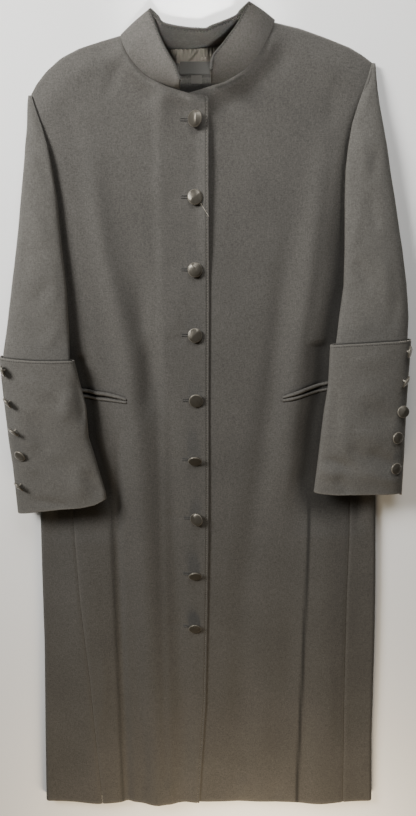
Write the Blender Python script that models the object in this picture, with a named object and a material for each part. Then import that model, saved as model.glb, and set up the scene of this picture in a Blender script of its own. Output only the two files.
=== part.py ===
"""Clergy robe laid on its back: open front closed by nine covered buttons, standing band collar,
long sleeves with deep buttoned cuffs, slanting welt pockets and side panels folded round the edges.

Up is +Z, the collar points to +Y and the wearer's right side lies at -X.
The tables are in millimetres, the meshes in metres.
"""

import math
from functools import partial

import bpy
import numpy as np
from mathutils import Matrix, Vector

for thing in list(bpy.data.objects):
    bpy.data.objects.remove(thing, do_unlink=True)

MM = 0.001

# Walls and gaps
BODY_WALL = 2.0
SLEEVE_WALL = 1.8
CUFF_WALL = 2.5
COLLAR_WALL = 3.0
WELT_WALL = 1.6
LINING_WALL = 1.0
LABEL_WALL = 1.0
SEAM_GAP = 0.3
LAP_LIFT = 3.0

# Body
HEM_Y = -645.0
CHEST_Y = 440.0
FRONT_HEIGHT = 16.0
EDGE_HEIGHT = 14.0
SHOULDER_HEIGHT = 4.4
SHOULDER_FALL = 38.0
NECK_RISE = 8.0
NECK_SPREAD = 24.0
UNDER_TURN = 26.0
UNDERLAP_X = -57.0
WELT_WIDTH = 5.2
TUBE_LAP = 5
TUBE_UNDER = 5

# Buttons
FRONT_BUTTON_RADIUS = 10.0
CUFF_BUTTON_RADIUS = 8.0
BUTTON_SHANK = 3.4
BUTTON_SEGMENTS = 12
BUTTON_GAP = 0.45


def table(names, rows):
    """A dictionary of columns, named in the order given, from a list of rows."""
    return dict(zip(names.split(), np.array(rows, float).T))


def at(rows, value, y):
    """The column called value at height y, between the rows of a table sorted by y."""
    return np.interp(y, rows["y"], rows[value])


# Outer boundary of each front panel: long side seam, then armhole up to the shoulder tip.
BOUNDARY = {
    "right": table("y x", [
        (-645, -192.0), (-533, -197.2), (-386, -202.8), (-229, -212.1), (-69, -216.8),
        (100, -221.0), (200, -224.0), (300, -226.0), (380, -224.0), (395, -220.0),
        (415, -213.0), (440, -211.0), (462, -214.3), (488, -220.5), (510, -229.2),
        (536, -239.5), (548, -243.5),
    ]),
    "left": table("y x", [
        (-645, 251.0), (-533, 246.4), (-386, 240.0), (-229, 234.7), (-69, 232.2),
        (100, 229.0), (200, 228.0), (300, 227.0), (395, 222.0), (410, 214.0),
        (430, 207.0), (450, 203.0), (479, 201.5), (510, 204.5), (539, 212.0),
        (560, 219.5), (584, 226.5), (588, 227.5),
    ]),
}

# Folded side edge of the body.
EDGE = {
    "right": table("y x", [
        (-645, -299.0), (-518, -292.2), (-311, -280.2), (-195, -275.9), (-72, -270.8),
        (100, -260.0), (200, -253.0), (300, -246.0), (380, -240.0),
    ]),
    "left": table("y x", [
        (-645, 306.5), (-518, 298.0), (-311, 289.4), (-195, 283.2), (-72, 274.8),
        (100, 264.0), (200, 257.0), (300, 250.0), (395, 244.0),
    ]),
}

# Placket edge of the right front, on top of the left.
PLACKET = table("y x", [
    (-645, -14.0), (-621, -12.8), (-426, -1.5), (-228, 2.0), (-48, 3.6), (118, 3.5),
    (270, 4.2), (410, 3.4), (530, 2.0), (541.7, 1.3),
])

SHOULDER = {
    "right": table("x y", [
        (-243.5, 548.0), (-234.4, 562.0), (-221.1, 576.9), (-199.5, 594.1),
        (-173.0, 606.3), (-144.1, 614.7), (-114.6, 622.4),
    ]),
    "left": table("x y", [
        (227.5, 588.0), (212.8, 597.7), (194.6, 607.5), (160.1, 619.6),
        (125.9, 630.4), (91.4, 637.8),
    ]),
}

NECKLINE = {
    "right": table("x y", [
        (-114.6, 622.4), (-105.0, 593.2), (-82.7, 568.4), (-56.0, 554.8),
        (-35.8, 548.6), (-19.6, 543.5), (-4.8, 542.0), (1.3, 541.7),
    ]),
    "left": table("x y", [
        (91.4, 637.8), (74.1, 599.1), (51.6, 574.5), (24.9, 559.6), (6.0, 555.0),
        (-8.8, 550.6), (-30.0, 545.0), (-57.0, 541.5),
    ]),
}

BACK_NECKLINE = table("x y", [
    (-114.6, 622.4), (-85.0, 611.0), (-51.0, 604.0), (-11.6, 605.0), (14.2, 607.5),
    (50.0, 616.0), (75.0, 627.0), (91.4, 637.8),
])

# Standing collar, from its right front end round the back to its left front end.
COLLAR = table("base_x base_y top_x top_y top_z back", [
    (-35.8, 548.6, -34.9, 549.7, 70, 0),
    (-56.0, 554.8, -40.1, 568.6, 64, 0),
    (-82.7, 568.4, -55.5, 594.0, 56, 0),
    (-105.0, 593.2, -68.1, 623.7, 52, 0),
    (-114.6, 622.4, -71.7, 637.9, 50, 0),
    (-85.0, 611.0, -62.0, 630.0, 50, 1),
    (-51.0, 604.0, -51.6, 621.0, 50, 1),
    (-11.6, 605.0, -8.3, 614.3, 50, 1),
    (14.2, 607.5, 7.1, 618.9, 50, 1),
    (50.0, 616.0, 35.0, 629.0, 50, 1),
    (75.0, 627.0, 42.6, 636.0, 50, 1),
    (91.4, 637.8, 55.3, 645.7, 50, 0),
    (74.1, 599.1, 42.8, 623.7, 52, 0),
    (51.6, 574.5, 23.7, 599.6, 56, 0),
    (24.9, 559.6, 9.7, 580.7, 62, 0),
    (6.0, 555.0, 7.0, 561.8, 68, 0),
])

# Long soft folds of the front: where each runs and how far it rises or sinks.
FOLDS = [
    (17.0, table("y x rise", [
        (-645, -136, 9), (-595, -134, 9), (-225, -124, 9), (40, -118, 8), (121, -118, 7),
        (229, -124, 6), (331, -141, 6), (414, -146, 6), (480, -149, 4), (560, -150, 0),
    ])),
    (11.0, table("y x rise", [
        (-645, -166, -5), (-595, -165, -5), (-225, -153, -5), (40, -143, -4), (150, -140, 0),
    ])),
    (15.0, table("y x rise", [
        (-645, -92, -4), (-595, -90, -4), (-225, -86, -4), (40, -80, -3), (150, -80, 0),
    ])),
    (17.0, table("y x rise", [
        (-44, 90, 0), (40, 100, 2), (121, 113, 5), (229, 122, 6), (302, 137, 6),
        (386, 138, 6), (480, 130, 4), (560, 132, 0),
    ])),
    (14.0, table("y x rise", [
        (-645, 66, -3), (-225, 63, -4), (-44, 60, -4), (121, 79, -3), (229, 92, -3), (300, 95, 0),
    ])),
    (24.0, table("y x rise", [
        (-645, 205, 5), (-225, 191, 5), (-44, 176, 4), (60, 170, 0),
    ])),
]

# Sleeves: inner and outer edge, their heights, height of the top and gap to what lies under.
ARM = {
    "right": table("y inner outer inner_z outer_z top gap", [
        (183, -201.2, -304.8, 35, 19.5, 44.0, 8.6), (196, -200.5, -303.0, 33, 18, 43.5, 8.4),
        (225, -198.5, -297.0, 28, 15, 42, 0.9), (288, -195.8, -285.0, 27, 14, 40, 0.9),
        (337, -197.6, -275.6, 26, 13, 38, 0.9), (371, -198.4, -269.5, 25, 12, 36, 0.9),
        (409, -200.7, -263.5, 24, 12, 34, 0.9), (435, -203.3, -259.2, 24, 11, 32, 0.9),
        (461, -208.1, -255.0, 23, 10, 31, 0.9), (482, -214.7, -252.5, 22, 10, 29, 0.9),
        (506, -223.9, -249.4, 20, 9, 26, 0.9), (525, -232.0, -247.8, 18, 8, 22, 0.9),
        (536, -236.5, -247.5, 14, 7, 17, 0.9), (547, -240.8, -247.2, 7.5, 5, 9, 0.9),
    ]),
    "left": table("y inner outer inner_z outer_z top gap", [
        (203, 186.2, 298.4, 35, 19.5, 44.0, 8.6), (219, 186.5, 298.0, 33, 18, 43.5, 8.4),
        (246, 190.4, 298.0, 28, 15, 42, 0.9), (290, 196.3, 292.0, 27, 14, 40, 0.9),
        (341, 195.6, 282.2, 26, 13, 38, 0.9), (371, 196.1, 275.4, 25, 12, 36, 0.9),
        (409, 196.3, 267.1, 24, 12, 34, 0.9), (448, 196.4, 257.7, 24, 11, 32, 0.9),
        (478, 196.9, 251.6, 23, 10, 31, 0.9), (509, 200.4, 244.0, 22, 10, 29, 0.9),
        (537, 208.2, 237.4, 20, 9, 25, 0.9), (556, 215.0, 233.8, 18, 8, 21, 0.9),
        (572, 220.3, 232.0, 14, 7, 17, 0.9), (587, 224.7, 231.0, 7.5, 5, 9, 0.9),
    ]),
}

# Cuffs: the same columns, outside the sleeve.
CUFF = {
    "right": table("y inner outer inner_z outer_z top gap", [
        (-64, -156.0, -300.2, 36, 20, 50, 3.2), (-37, -158.3, -301.0, 36, 20, 50, 3.2),
        (26, -172.7, -302.5, 35, 20, 51, 3.2), (58, -180.4, -305.0, 35, 20, 52, 3.2),
        (110, -182.4, -307.0, 35, 20, 52, 3.2), (147, -189.5, -308.5, 35, 19, 51, 3.2),
        (187, -196.6, -309.5, 35, 19, 50, 3.2),
    ]),
    "left": table("y inner outer inner_z outer_z top gap", [
        (-36, 166.6, 308.3, 36, 20, 50, 3.2), (-23, 167.3, 308.0, 36, 20, 50, 3.2),
        (31, 171.8, 306.7, 35, 20, 51, 3.2), (73, 174.5, 304.9, 35, 20, 52, 3.2),
        (110, 177.3, 303.6, 35, 20, 52, 3.2), (149, 181.5, 303.3, 35, 19, 51, 3.2),
        (213, 181.7, 303.0, 35, 19, 50, 3.2),
    ]),
}

# The two ends of each cuff slant: where they cross the inner and the outer edge.
CUFF_ENDS = {
    "right": {"inner_top": 183.0, "outer_top": 187.0, "inner_end": -38.0, "outer_end": -62.0},
    "left": {"inner_top": 206.0, "outer_top": 213.0, "inner_end": -22.0, "outer_end": -35.0},
}

UNDERARM = {"right": 380.0, "left": 395.0}
SIDE = {"right": -1.0, "left": 1.0}

# Pocket lips: where the middle of each starts at the front and ends at the side seam.
WELTS = {
    "right_pocket_upper_welt": (-123.0, 115.4, -213.0, 134.2),
    "right_pocket_lower_welt": (-123.0, 109.6, -213.0, 120.6),
    "left_pocket_upper_welt": (115.5, 115.8, 219.0, 146.5),
    "left_pocket_lower_welt": (115.5, 110.0, 219.0, 135.0),
}

# Front buttons: place, and which way each one leans.
FRONT_BUTTONS = table("x y lean_x lean_y", [
    (-15.7, 513.5, -0.62, 0.0), (-16.3, 413.2, 0.0, 0.05), (-16.8, 313.2, -0.08, 0.0),
    (-17.4, 217.5, 0.05, 0.0), (-16.4, 118.1, 0.0, -0.05), (-18.4, 21.4, 0.0, -0.6),
    (-15.7, -77.0, -0.45, -0.1), (-19.5, -178.7, 0.05, -0.6), (-20.0, -278.0, 0.0, -0.6),
])

CUFF_BUTTONS = {
    "right": table("x y lean_x lean_y", [
        (-293.0, 161.0, -0.75, 0.0), (-290.0, 115.0, -0.6, -0.4), (-284.0, 71.0, -0.55, -0.45),
        (-278.0, 33.0, -0.5, -0.2), (-278.0, -10.0, -0.6, -0.4),
    ]),
    "left": table("x y lean_x lean_y", [
        (290.0, 188.0, 0.75, 0.0), (288.0, 146.0, 0.6, -0.4), (286.0, 102.0, 0.25, 0.1),
        (280.0, 65.0, 0.45, 0.4), (278.0, 22.0, 0.45, 0.4),
    ]),
}


def material(name, colour, roughness, sheen=0.0):
    """A plain cloth material."""
    made = bpy.data.materials.new(name)
    made.use_nodes = True
    shader = made.node_tree.nodes["Principled BSDF"]
    shader.inputs["Base Color"].default_value = (*colour, 1.0)
    shader.inputs["Roughness"].default_value = roughness
    shader.inputs["Sheen Weight"].default_value = sheen
    return made


def ease(value):
    """A smooth step from 0 to 1."""
    held = np.clip(value, 0.0, 1.0)
    return held * held * (3.0 - 2.0 * held)


def away(x, y, line):
    """Distance in plan from each point to a line of corners."""
    nearest = np.full(np.shape(x), 1e9)
    for x0, y0, x1, y1 in zip(line["x"][:-1], line["y"][:-1], line["x"][1:], line["y"][1:]):
        along_x = x1 - x0
        along_y = y1 - y0
        share = ((x - x0) * along_x + (y - y0) * along_y) / (along_x ** 2 + along_y ** 2)
        share = np.clip(share, 0.0, 1.0)
        reach = np.hypot(x - x0 - share * along_x, y - y0 - share * along_y)
        nearest = np.minimum(nearest, reach)
    return nearest


def front_height(x, y):
    """Height of the outer face of the front cloth, before the right front laps over the left."""
    x = np.asarray(x, float)
    y = np.asarray(y, float)
    height = FRONT_HEIGHT - (FRONT_HEIGHT - EDGE_HEIGHT) * ease((np.abs(x) - 190.0) / 50.0)
    for spread, fold in FOLDS:
        height = height + at(fold, "rise", y) * np.exp(-((x - at(fold, "x", y)) / spread) ** 2)
    to_neck = np.minimum(away(x, y, NECKLINE["right"]), away(x, y, NECKLINE["left"]))
    height = height + NECK_RISE * np.exp(-((to_neck / NECK_SPREAD) ** 2))
    to_shoulder = np.minimum(away(x, y, SHOULDER["right"]), away(x, y, SHOULDER["left"]))
    rise = np.sin(np.clip(to_shoulder / SHOULDER_FALL, 0.0, 1.0) * math.pi / 2.0)
    return SHOULDER_HEIGHT + (height - SHOULDER_HEIGHT) * rise


def lap_height(x, y):
    """Height of the right front, which climbs over the edge of the left front."""
    return front_height(x, y) + LAP_LIFT * ease((np.asarray(x, float) + 78.0) / 15.0)


def finish(name, mesh, look):
    """Link the mesh as one named piece."""
    piece = bpy.data.objects.new(name, mesh)
    bpy.context.scene.collection.objects.link(piece)
    mesh.materials.append(look)
    return piece


def sheet(name, grid, wall, look, hint, ring=False, joined=0):
    """Cloth of one thickness under a grid of outer points.

    hint points away from the inside at each point. ring closes every row on itself, and
    joined closes only the first rows, as a sleeve is closed below the armhole.
    """
    rows, columns = grid.shape[:2]
    points = []
    index = np.zeros((rows, columns), int)
    for row in range(rows):
        for column in range(columns):
            closes = column == columns - 1 and row < joined
            index[row, column] = index[row, 0] if closes else len(points)
            if not closes:
                points.append(Vector(grid[row, column]) * MM)
    faces = []
    facing = 0.0
    for row in range(rows - 1):
        for column in range(columns if ring else columns - 1):
            beside = (column + 1) % columns
            corners = [index[row, column], index[row, beside], index[row + 1, beside], index[row + 1, column]]
            corners = list(dict.fromkeys(int(corner) for corner in corners))
            if len(corners) < 3:
                continue
            across = points[corners[1]] - points[corners[0]]
            turned = across.cross(points[corners[-1]] - points[corners[0]])
            facing += turned.dot(Vector(hint[row, column]))
            faces.append(corners)
    if facing < 0.0:
        faces = [corners[::-1] for corners in faces]
    mesh = bpy.data.meshes.new(name)
    mesh.from_pydata(points, [], faces)
    mesh.update()
    mesh.shade_smooth()
    piece = finish(name, mesh, look)
    thick = piece.modifiers.new("Thickness", "SOLIDIFY")
    thick.thickness = wall * MM
    thick.offset = -1.0
    thick.use_even_offset = True
    thick.use_rim = True
    return piece


def slab(name, outline, base, wall, look):
    """A flat piece with the given outline, anticlockwise seen from above."""
    count = len(outline)
    points = []
    for height in (base, base + wall):
        points.extend((x * MM, y * MM, height * MM) for x, y in outline)
    faces = [list(range(count))[::-1], list(range(count, 2 * count))]
    for start in range(count):
        end = (start + 1) % count
        faces.append([start, end, end + count, start + count])
    mesh = bpy.data.meshes.new(name)
    mesh.from_pydata(points, [], faces)
    mesh.update()
    return finish(name, mesh, look)


def up(grid):
    """A hint that points straight up everywhere."""
    return np.tile(np.array([0.0, 0.0, 1.0]), (*grid.shape[:2], 1))


def outwards(grid):
    """A hint that points away from the middle of each row."""
    return grid - grid.mean(axis=1, keepdims=True)


def along(line, count):
    """Points spaced evenly by length along a line of corners."""
    steps = np.hypot(np.diff(line["x"]), np.diff(line["y"]))
    length = np.concatenate([[0.0], np.cumsum(steps)])
    share = np.linspace(0.0, length[-1], count)
    return np.stack([np.interp(share, length, line["x"]), np.interp(share, length, line["y"])], 1)


def front_grid(side, lower, upper, shoulder_steps, neck_steps):
    """Plan of a front panel: straight rows up to the chest, then rows that bend to the shoulder."""
    edge = PLACKET if side == "right" else table("y x", [(-700, UNDERLAP_X), (700, UNDERLAP_X)])
    shoulder = along(SHOULDER[side], shoulder_steps + 1)
    neck = along(NECKLINE[side], neck_steps + 1)
    top = np.concatenate([shoulder, neck[1:]])
    columns = len(top)
    near = at(BOUNDARY[side], "x", CHEST_Y)
    far = at(edge, "x", CHEST_Y)
    corner = (shoulder[-1][0] - near) / (far - near)
    share = np.concatenate([
        np.linspace(0.0, corner, shoulder_steps + 1),
        np.linspace(corner, 1.0, neck_steps + 1)[1:],
    ])
    rows = []
    for y in np.linspace(HEM_Y, CHEST_Y, lower + 1):
        near = at(BOUNDARY[side], "x", y)
        far = at(edge, "x", y)
        rows.append(np.stack([near + (far - near) * share, np.full(columns, y)], 1))
    bottom = rows[-1]
    for step in range(1, upper + 1):
        up_share = step / upper
        y_near = CHEST_Y + (top[0][1] - CHEST_Y) * up_share
        y_far = CHEST_Y + (top[-1][1] - CHEST_Y) * up_share
        near = np.array([at(BOUNDARY[side], "x", y_near), y_near])
        far = np.array([at(edge, "x", y_far), y_far])
        across = share[:, None]
        plan = (1 - up_share) * bottom + up_share * top + (1 - across) * near + across * far
        plan = plan - (1 - across) * ((1 - up_share) * bottom[0] + up_share * top[0])
        plan = plan - across * ((1 - up_share) * bottom[-1] + up_share * top[-1])
        rows.append(plan)
    return np.array(rows)


def front(side, look):
    """A front panel from its plan and the height of the cloth."""
    sizes = (20, 9, 8, 10) if side == "right" else (20, 9, 9, 12)
    plan = front_grid(side, *sizes)
    height = lap_height if side == "right" else front_height
    grid = np.concatenate([plan, height(plan[..., 0], plan[..., 1])[..., None]], 2)
    return sheet(side + "_front", grid, BODY_WALL, look, up(grid))


def side_section(side, y):
    """One section of a side panel: top cloth, folded edge, then the part turned under."""
    way = SIDE[side]
    seam = at(BOUNDARY[side], "x", y) + way * SEAM_GAP
    edge = at(EDGE[side], "x", y)
    radius = front_height(edge - way * EDGE_HEIGHT / 2.0, y) / 2.0
    centre = edge - way * radius
    points = []
    for share in np.linspace(0.0, 1.0, 5)[:-1]:
        x = seam + (centre - seam) * share
        points.append((x, y, float(front_height(x, y))))
    for turn in np.linspace(90.0, -90.0, 8):
        angle = math.radians(turn)
        points.append((centre + way * radius * math.cos(angle), y, radius + radius * math.sin(angle)))
    points.append((edge - way * UNDER_TURN, y, 0.0))
    return points


def side_panel(side, look):
    grid = np.array([side_section(side, y) for y in side_rows(side)])
    return sheet(side + "_side_panel", grid, BODY_WALL, look, outwards(grid))


def back_edge(side, y):
    """Edge of the back panel: it follows the armhole, then the part that the side panel turns under."""
    way = SIDE[side]
    under = UNDERARM[side]
    if y > CHEST_Y:
        return at(BOUNDARY[side], "x", y)
    turned = at(EDGE[side], "x", min(y, under)) - way * (UNDER_TURN + SEAM_GAP)
    share = ease((y - under) / (CHEST_Y - under))
    return turned + (at(BOUNDARY[side], "x", CHEST_Y) - turned) * share


def side_rows(side):
    """Heights of the rows of a side panel."""
    return list(np.linspace(HEM_Y, UNDERARM[side] - 2.0, 17))


def armhole_rows(side):
    """Heights of the sleeve's rows above the underarm."""
    under = UNDERARM[side]
    return [under + 5.0] + list(np.linspace(under + 14.0, ARM[side]["y"][-1], 11))


def back_panel(look):
    right = [(back_edge("right", y), y) for y in side_rows("right") + armhole_rows("right")]
    left = [(back_edge("left", y), y) for y in side_rows("left") + armhole_rows("left")]
    outline = left + list(zip(SHOULDER["left"]["x"], SHOULDER["left"]["y"]))
    outline += list(zip(BACK_NECKLINE["x"], BACK_NECKLINE["y"]))[::-1][1:]
    outline += list(zip(SHOULDER["right"]["x"], SHOULDER["right"]["y"]))[::-1][1:]
    return slab("back_panel", outline + right[::-1], 0.0, BODY_WALL, look)


def rest_height(side, x, y, gap):
    """Height of cloth that lies on the body, and that sinks where it hangs past the side edge."""
    way = SIDE[side]
    edge = at(EDGE[side], "x", y)
    on_body = 0.0
    for shift in (-7.0, 0.0, 7.0):
        for slide in (-30.0, 0.0, 30.0):
            held = min(way * (x + shift), way * (edge - way * 7.0)) * way
            on_body = max(on_body, float(front_height(held, y + slide)))
    past = (way * (x - edge) - 2.0) / 16.0
    return on_body + gap + (1.0 - on_body) * float(ease(past))


def lap(start_x, start_z, inner, inner_z):
    """The cloth under a flattened tube, from its inner edge to where it starts."""
    points = []
    for step in range(TUBE_LAP - 1, -1, -1):
        turn = math.pi / 2.0 * step / TUBE_LAP
        x = start_x + (inner - start_x) * math.sin(turn)
        points.append((x, start_z + (inner_z - start_z) * (1.0 - math.cos(turn))))
    return points


def over(inner, outer, inner_z, outer_z, top, count=9):
    """The top half of a flattened tube, from its inner edge to its outer edge."""
    points = []
    for step in range(count + 1):
        share = step / count
        lift = math.sin(math.pi * share) ** 0.75 if 0 < step < count else 0.0
        edge_z = inner_z + (outer_z - inner_z) * share
        x = inner + (outer - inner) * (1.0 - math.cos(math.pi * share)) / 2.0
        points.append((x, edge_z + (top - edge_z) * lift))
    return points


def arm_values(side, y):
    """Columns of the sleeve at one height: its own table, then the inside of the cuff."""
    names = ("inner", "outer", "inner_z", "outer_z", "top", "gap")
    if y >= ARM[side]["y"][0]:
        return {name: at(ARM[side], name, y) for name in names}
    way = SIDE[side]
    inset = 4.3
    values = {name: at(CUFF[side], name, y) for name in names}
    values["inner"] += way * inset
    values["outer"] -= way * inset
    values["top"] -= inset + 1.0
    values["gap"] += inset + 1.1
    return values


def sleeve_section(side, y):
    """One section of a sleeve, from its front seam over the top and under to its back seam."""
    way = SIDE[side]
    values = arm_values(side, y)
    inner, outer = values["inner"], values["outer"]
    inner_z, outer_z = values["inner_z"], values["outer_z"]
    in_armhole = y > UNDERARM[side]
    if in_armhole:
        start_x = at(BOUNDARY[side], "x", y)
        start_z = float(front_height(start_x, y)) + values["gap"]
        end_x = back_edge(side, y) + way * SEAM_GAP
    else:
        start_x = at(EDGE[side], "x", y) + way * 1.5
        start_z = rest_height(side, start_x - way * 12.0, y, values["gap"])
        end_x = start_x
    points = [(x, y, z) for x, z in lap(start_x, start_z, inner, inner_z)[::-1]]
    points += [(x, y, z) for x, z in over(inner, outer, inner_z, outer_z, values["top"])]
    for step in range(1, TUBE_UNDER + 1):
        share = step / TUBE_UNDER
        x = outer + (end_x - outer) * share
        low = 0.0 if in_armhole else rest_height(side, x, y, values["gap"])
        sink = math.sin(min(1.0, share / 0.5) * math.pi / 2.0)
        points.append((x, y, outer_z + (low - outer_z) * sink))
    return points


def sleeve(side, look):
    under = UNDERARM[side]
    cuff_end = CUFF_ENDS[side]["inner_end"] + 8.0
    entry = ARM[side]["y"][0]
    closed = list(np.linspace(cuff_end, entry, 6)) + [entry + 12.0, entry + 40.0]
    closed += list(np.linspace(entry + 40.0, under - 0.5, 6)[1:])
    grid = np.array([sleeve_section(side, y) for y in closed + armhole_rows(side)])
    return sheet(
        side + "_sleeve", grid, SLEEVE_WALL, look, outwards(grid), joined=len(closed)
    )


def cuff_section(side, share):
    """One ring of a cuff. share runs from the open end to the top edge."""
    way = SIDE[side]
    ends = CUFF_ENDS[side]

    def height(x, inner, outer):
        across = (x - inner) / (outer - inner)
        low = ends["inner_end"] + (ends["outer_end"] - ends["inner_end"]) * across
        high = ends["inner_top"] + (ends["outer_top"] - ends["inner_top"]) * across
        return low + (high - low) * share

    middle = height(0.5, 0.0, 1.0)
    values = {name: at(CUFF[side], name, middle) for name in CUFF[side]}
    inner, outer = values["inner"], values["outer"]
    inner_z, outer_z = values["inner_z"], values["outer_z"]
    knee = at(EDGE[side], "x", middle) + way * 1.5
    points = over(inner, outer, inner_z, outer_z, values["top"])
    for step in range(1, TUBE_UNDER + 1):
        part = step / TUBE_UNDER
        x = outer + (knee - outer) * part
        low = rest_height(side, x, middle, values["gap"])
        sink = math.sin(min(1.0, part / 0.5) * math.pi / 2.0)
        points.append((x, outer_z + (low - outer_z) * sink))
    base = rest_height(side, knee - way * 12.0, middle, values["gap"])
    points += lap(knee, base, inner, inner_z)[::-1][1:]
    return [(x, height(x, inner, outer), z) for x, z in points]


def cuff(side, look):
    grid = np.array([cuff_section(side, share) for share in np.linspace(0.0, 1.0, 7)])
    return sheet(side + "_cuff", grid, CUFF_WALL, look, outwards(grid), ring=True)


def cuff_top(side, x, y):
    """Height of the outer face of the cuff over a point in plan."""
    values = {name: at(CUFF[side], name, y) for name in CUFF[side]}
    line = over(values["inner"], values["outer"], values["inner_z"], values["outer_z"], values["top"])
    xs = np.array([point[0] for point in line])
    zs = np.array([point[1] for point in line])
    order = np.argsort(xs)
    return float(np.interp(x, xs[order], zs[order]))


def smooth_line(values, count):
    """Even steps along a soft curve through the values."""
    last = len(values) - 1
    found = []
    for place in np.linspace(0.0, last, count):
        start = min(int(place), last - 1)
        part = place - start
        before, here, there, after = (
            values[min(max(start + shift, 0), last)] for shift in (-1, 0, 1, 2)
        )
        found.append(0.5 * (
            2.0 * here + (there - before) * part
            + (2.0 * before - 5.0 * here + 4.0 * there - after) * part ** 2
            + (3.0 * here - before - 3.0 * there + after) * part ** 3
        ))
    return np.array(found)


def collar(look):
    base_z = []
    for x, y, back in zip(COLLAR["base_x"], COLLAR["base_y"], COLLAR["back"]):
        base_z.append(BODY_WALL + LINING_WALL + 1.0 if back else float(lap_height(x, y)) + 3.6)
    base = np.stack([COLLAR["base_x"], COLLAR["base_y"], np.array(base_z)], 1)
    top = np.stack([COLLAR["top_x"], COLLAR["top_y"], COLLAR["top_z"]], 1)
    base = smooth_line(base, 37)
    top = smooth_line(top, 37)
    shares = np.linspace(0.0, 1.0, 5)
    grid = np.array([base + (top - base) * share for share in shares])
    centre = grid.mean(axis=(0, 1))
    hint = grid - centre
    hint[..., 2] = 0.0
    return sheet("collar", grid, COLLAR_WALL, look, hint)


def welt(name, place, look):
    """A folded strip laid on the front along a pocket mouth."""
    x0, y0, x1, y1 = place
    slope = Vector((x1 - x0, y1 - y0)).normalized()
    side = Vector((-slope.y, slope.x))
    height = lap_height if x0 < 0 else front_height
    grid = []
    for across in (-0.5, 0.0, 0.5):
        row = []
        for share in np.linspace(0.0, 1.0, 11):
            x = x0 + (x1 - x0) * share + side.x * across * WELT_WIDTH
            y = y0 + (y1 - y0) * share + side.y * across * WELT_WIDTH
            row.append((x, y, float(height(x, y)) + WELT_WALL + 0.9))
        grid.append(row)
    grid = np.array(grid)
    return sheet(name, grid, WELT_WALL, look, up(grid))


def button(name, place, lean, radius, surface, look):
    """A covered button turned from a profile, on a short shank, just clear of the surface under it."""
    profile = [
        (1.6, 0.0), (1.6, BUTTON_SHANK), (radius, BUTTON_SHANK + 0.9),
        (radius * 0.97, BUTTON_SHANK + 2.1), (radius * 0.62, BUTTON_SHANK + 3.7),
    ]
    points = [(0.0, 0.0, 0.0)]
    for out, height in profile:
        for step in range(BUTTON_SEGMENTS):
            turn = 2.0 * math.pi * step / BUTTON_SEGMENTS
            points.append((out * math.cos(turn), out * math.sin(turn), height))
    points.append((0.0, 0.0, BUTTON_SHANK + 4.4))
    faces = []
    last = len(points) - 1
    for step in range(BUTTON_SEGMENTS):
        beside = (step + 1) % BUTTON_SEGMENTS
        faces.append([0, 1 + beside, 1 + step])
        for ring in range(len(profile) - 1):
            low = 1 + ring * BUTTON_SEGMENTS
            high = low + BUTTON_SEGMENTS
            faces.append([low + step, low + beside, high + beside, high + step])
        top = 1 + (len(profile) - 1) * BUTTON_SEGMENTS
        faces.append([top + step, top + beside, last])
    mesh = bpy.data.meshes.new(name)
    mesh.from_pydata([Vector(point) * MM for point in points], [], faces)
    mesh.update()
    mesh.shade_smooth()
    axis = Vector((lean[0], lean[1], 1.0)).normalized()
    turn = Vector((0.0, 0.0, 1.0)).rotation_difference(axis).to_matrix()
    turned = [turn @ Vector(point) for point in points]
    needed = max(surface(place[0] + point.x, place[1] + point.y) - point.z for point in turned)
    raised = Vector((place[0], place[1], needed + BUTTON_GAP))
    piece = finish(name, mesh, look)
    piece.matrix_world = Matrix.Translation(raised * MM) @ turn.to_4x4()
    return piece


def box_outline(x0, y0, x1, y1):
    return [(x0, y0), (x1, y0), (x1, y1), (x0, y1)]


crepe = (0.062, 0.060, 0.056)
front("right", material("Right front crepe", crepe, 0.85, 0.2))
front("left", material("Left front crepe", crepe, 0.85, 0.2))
back_panel(material("Back crepe", crepe, 0.85, 0.2))
for name in ("right", "left"):
    side_panel(name, material(name.title() + " side crepe", crepe, 0.85, 0.2))
    sleeve(name, material(name.title() + " sleeve crepe", crepe, 0.85, 0.2))
    cuff(name, material(name.title() + " cuff crepe", crepe, 0.85, 0.2))
collar(material("Collar crepe", crepe, 0.8, 0.2))

lining_floor = BODY_WALL + SEAM_GAP
lining_outline = [
    (-70.0, 520.0), (60.0, 520.0), (68.0, 560.0), (70.0, 612.0), (50.0, 609.0), (14.2, 601.5),
    (-11.6, 599.0), (-51.0, 598.0), (-82.0, 604.0), (-80.0, 560.0),
]
slab("neck_lining", lining_outline, lining_floor, LINING_WALL, material("Lining satin", (0.09, 0.08, 0.07), 0.35))
label_floor = lining_floor + LINING_WALL + SEAM_GAP
label_look = material("Label tape", (0.03, 0.03, 0.03), 0.6)
slab("neck_label", box_outline(-28.0, 570.0, 15.6, 591.0), label_floor, LABEL_WALL, label_look)
tab_look = material("Size tab tape", (0.2, 0.2, 0.19), 0.6)
slab("size_tab", box_outline(-13.0, 560.0, 3.0, 569.5), label_floor, LABEL_WALL, tab_look)

for name, place in WELTS.items():
    welt(name, place, material(name.replace("_", " ") + " crepe", crepe, 0.8, 0.2))

satin = (0.045, 0.043, 0.040)
for number in range(9):
    x, y, lean_x, lean_y = (float(FRONT_BUTTONS[key][number]) for key in ("x", "y", "lean_x", "lean_y"))
    name = "front_button_" + str(number + 1)
    look = material(name + " satin", satin, 0.35)
    button(name, (x, y), (lean_x, lean_y), FRONT_BUTTON_RADIUS, lap_height, look)
for side, buttons in CUFF_BUTTONS.items():
    for number in range(5):
        x, y, lean_x, lean_y = (float(buttons[key][number]) for key in ("x", "y", "lean_x", "lean_y"))
        name = side + "_cuff_button_" + str(number + 1)
        look = material(name + " satin", satin, 0.35)
        button(name, (x, y), (lean_x, lean_y), CUFF_BUTTON_RADIUS, partial(cuff_top, side), look)
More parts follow.
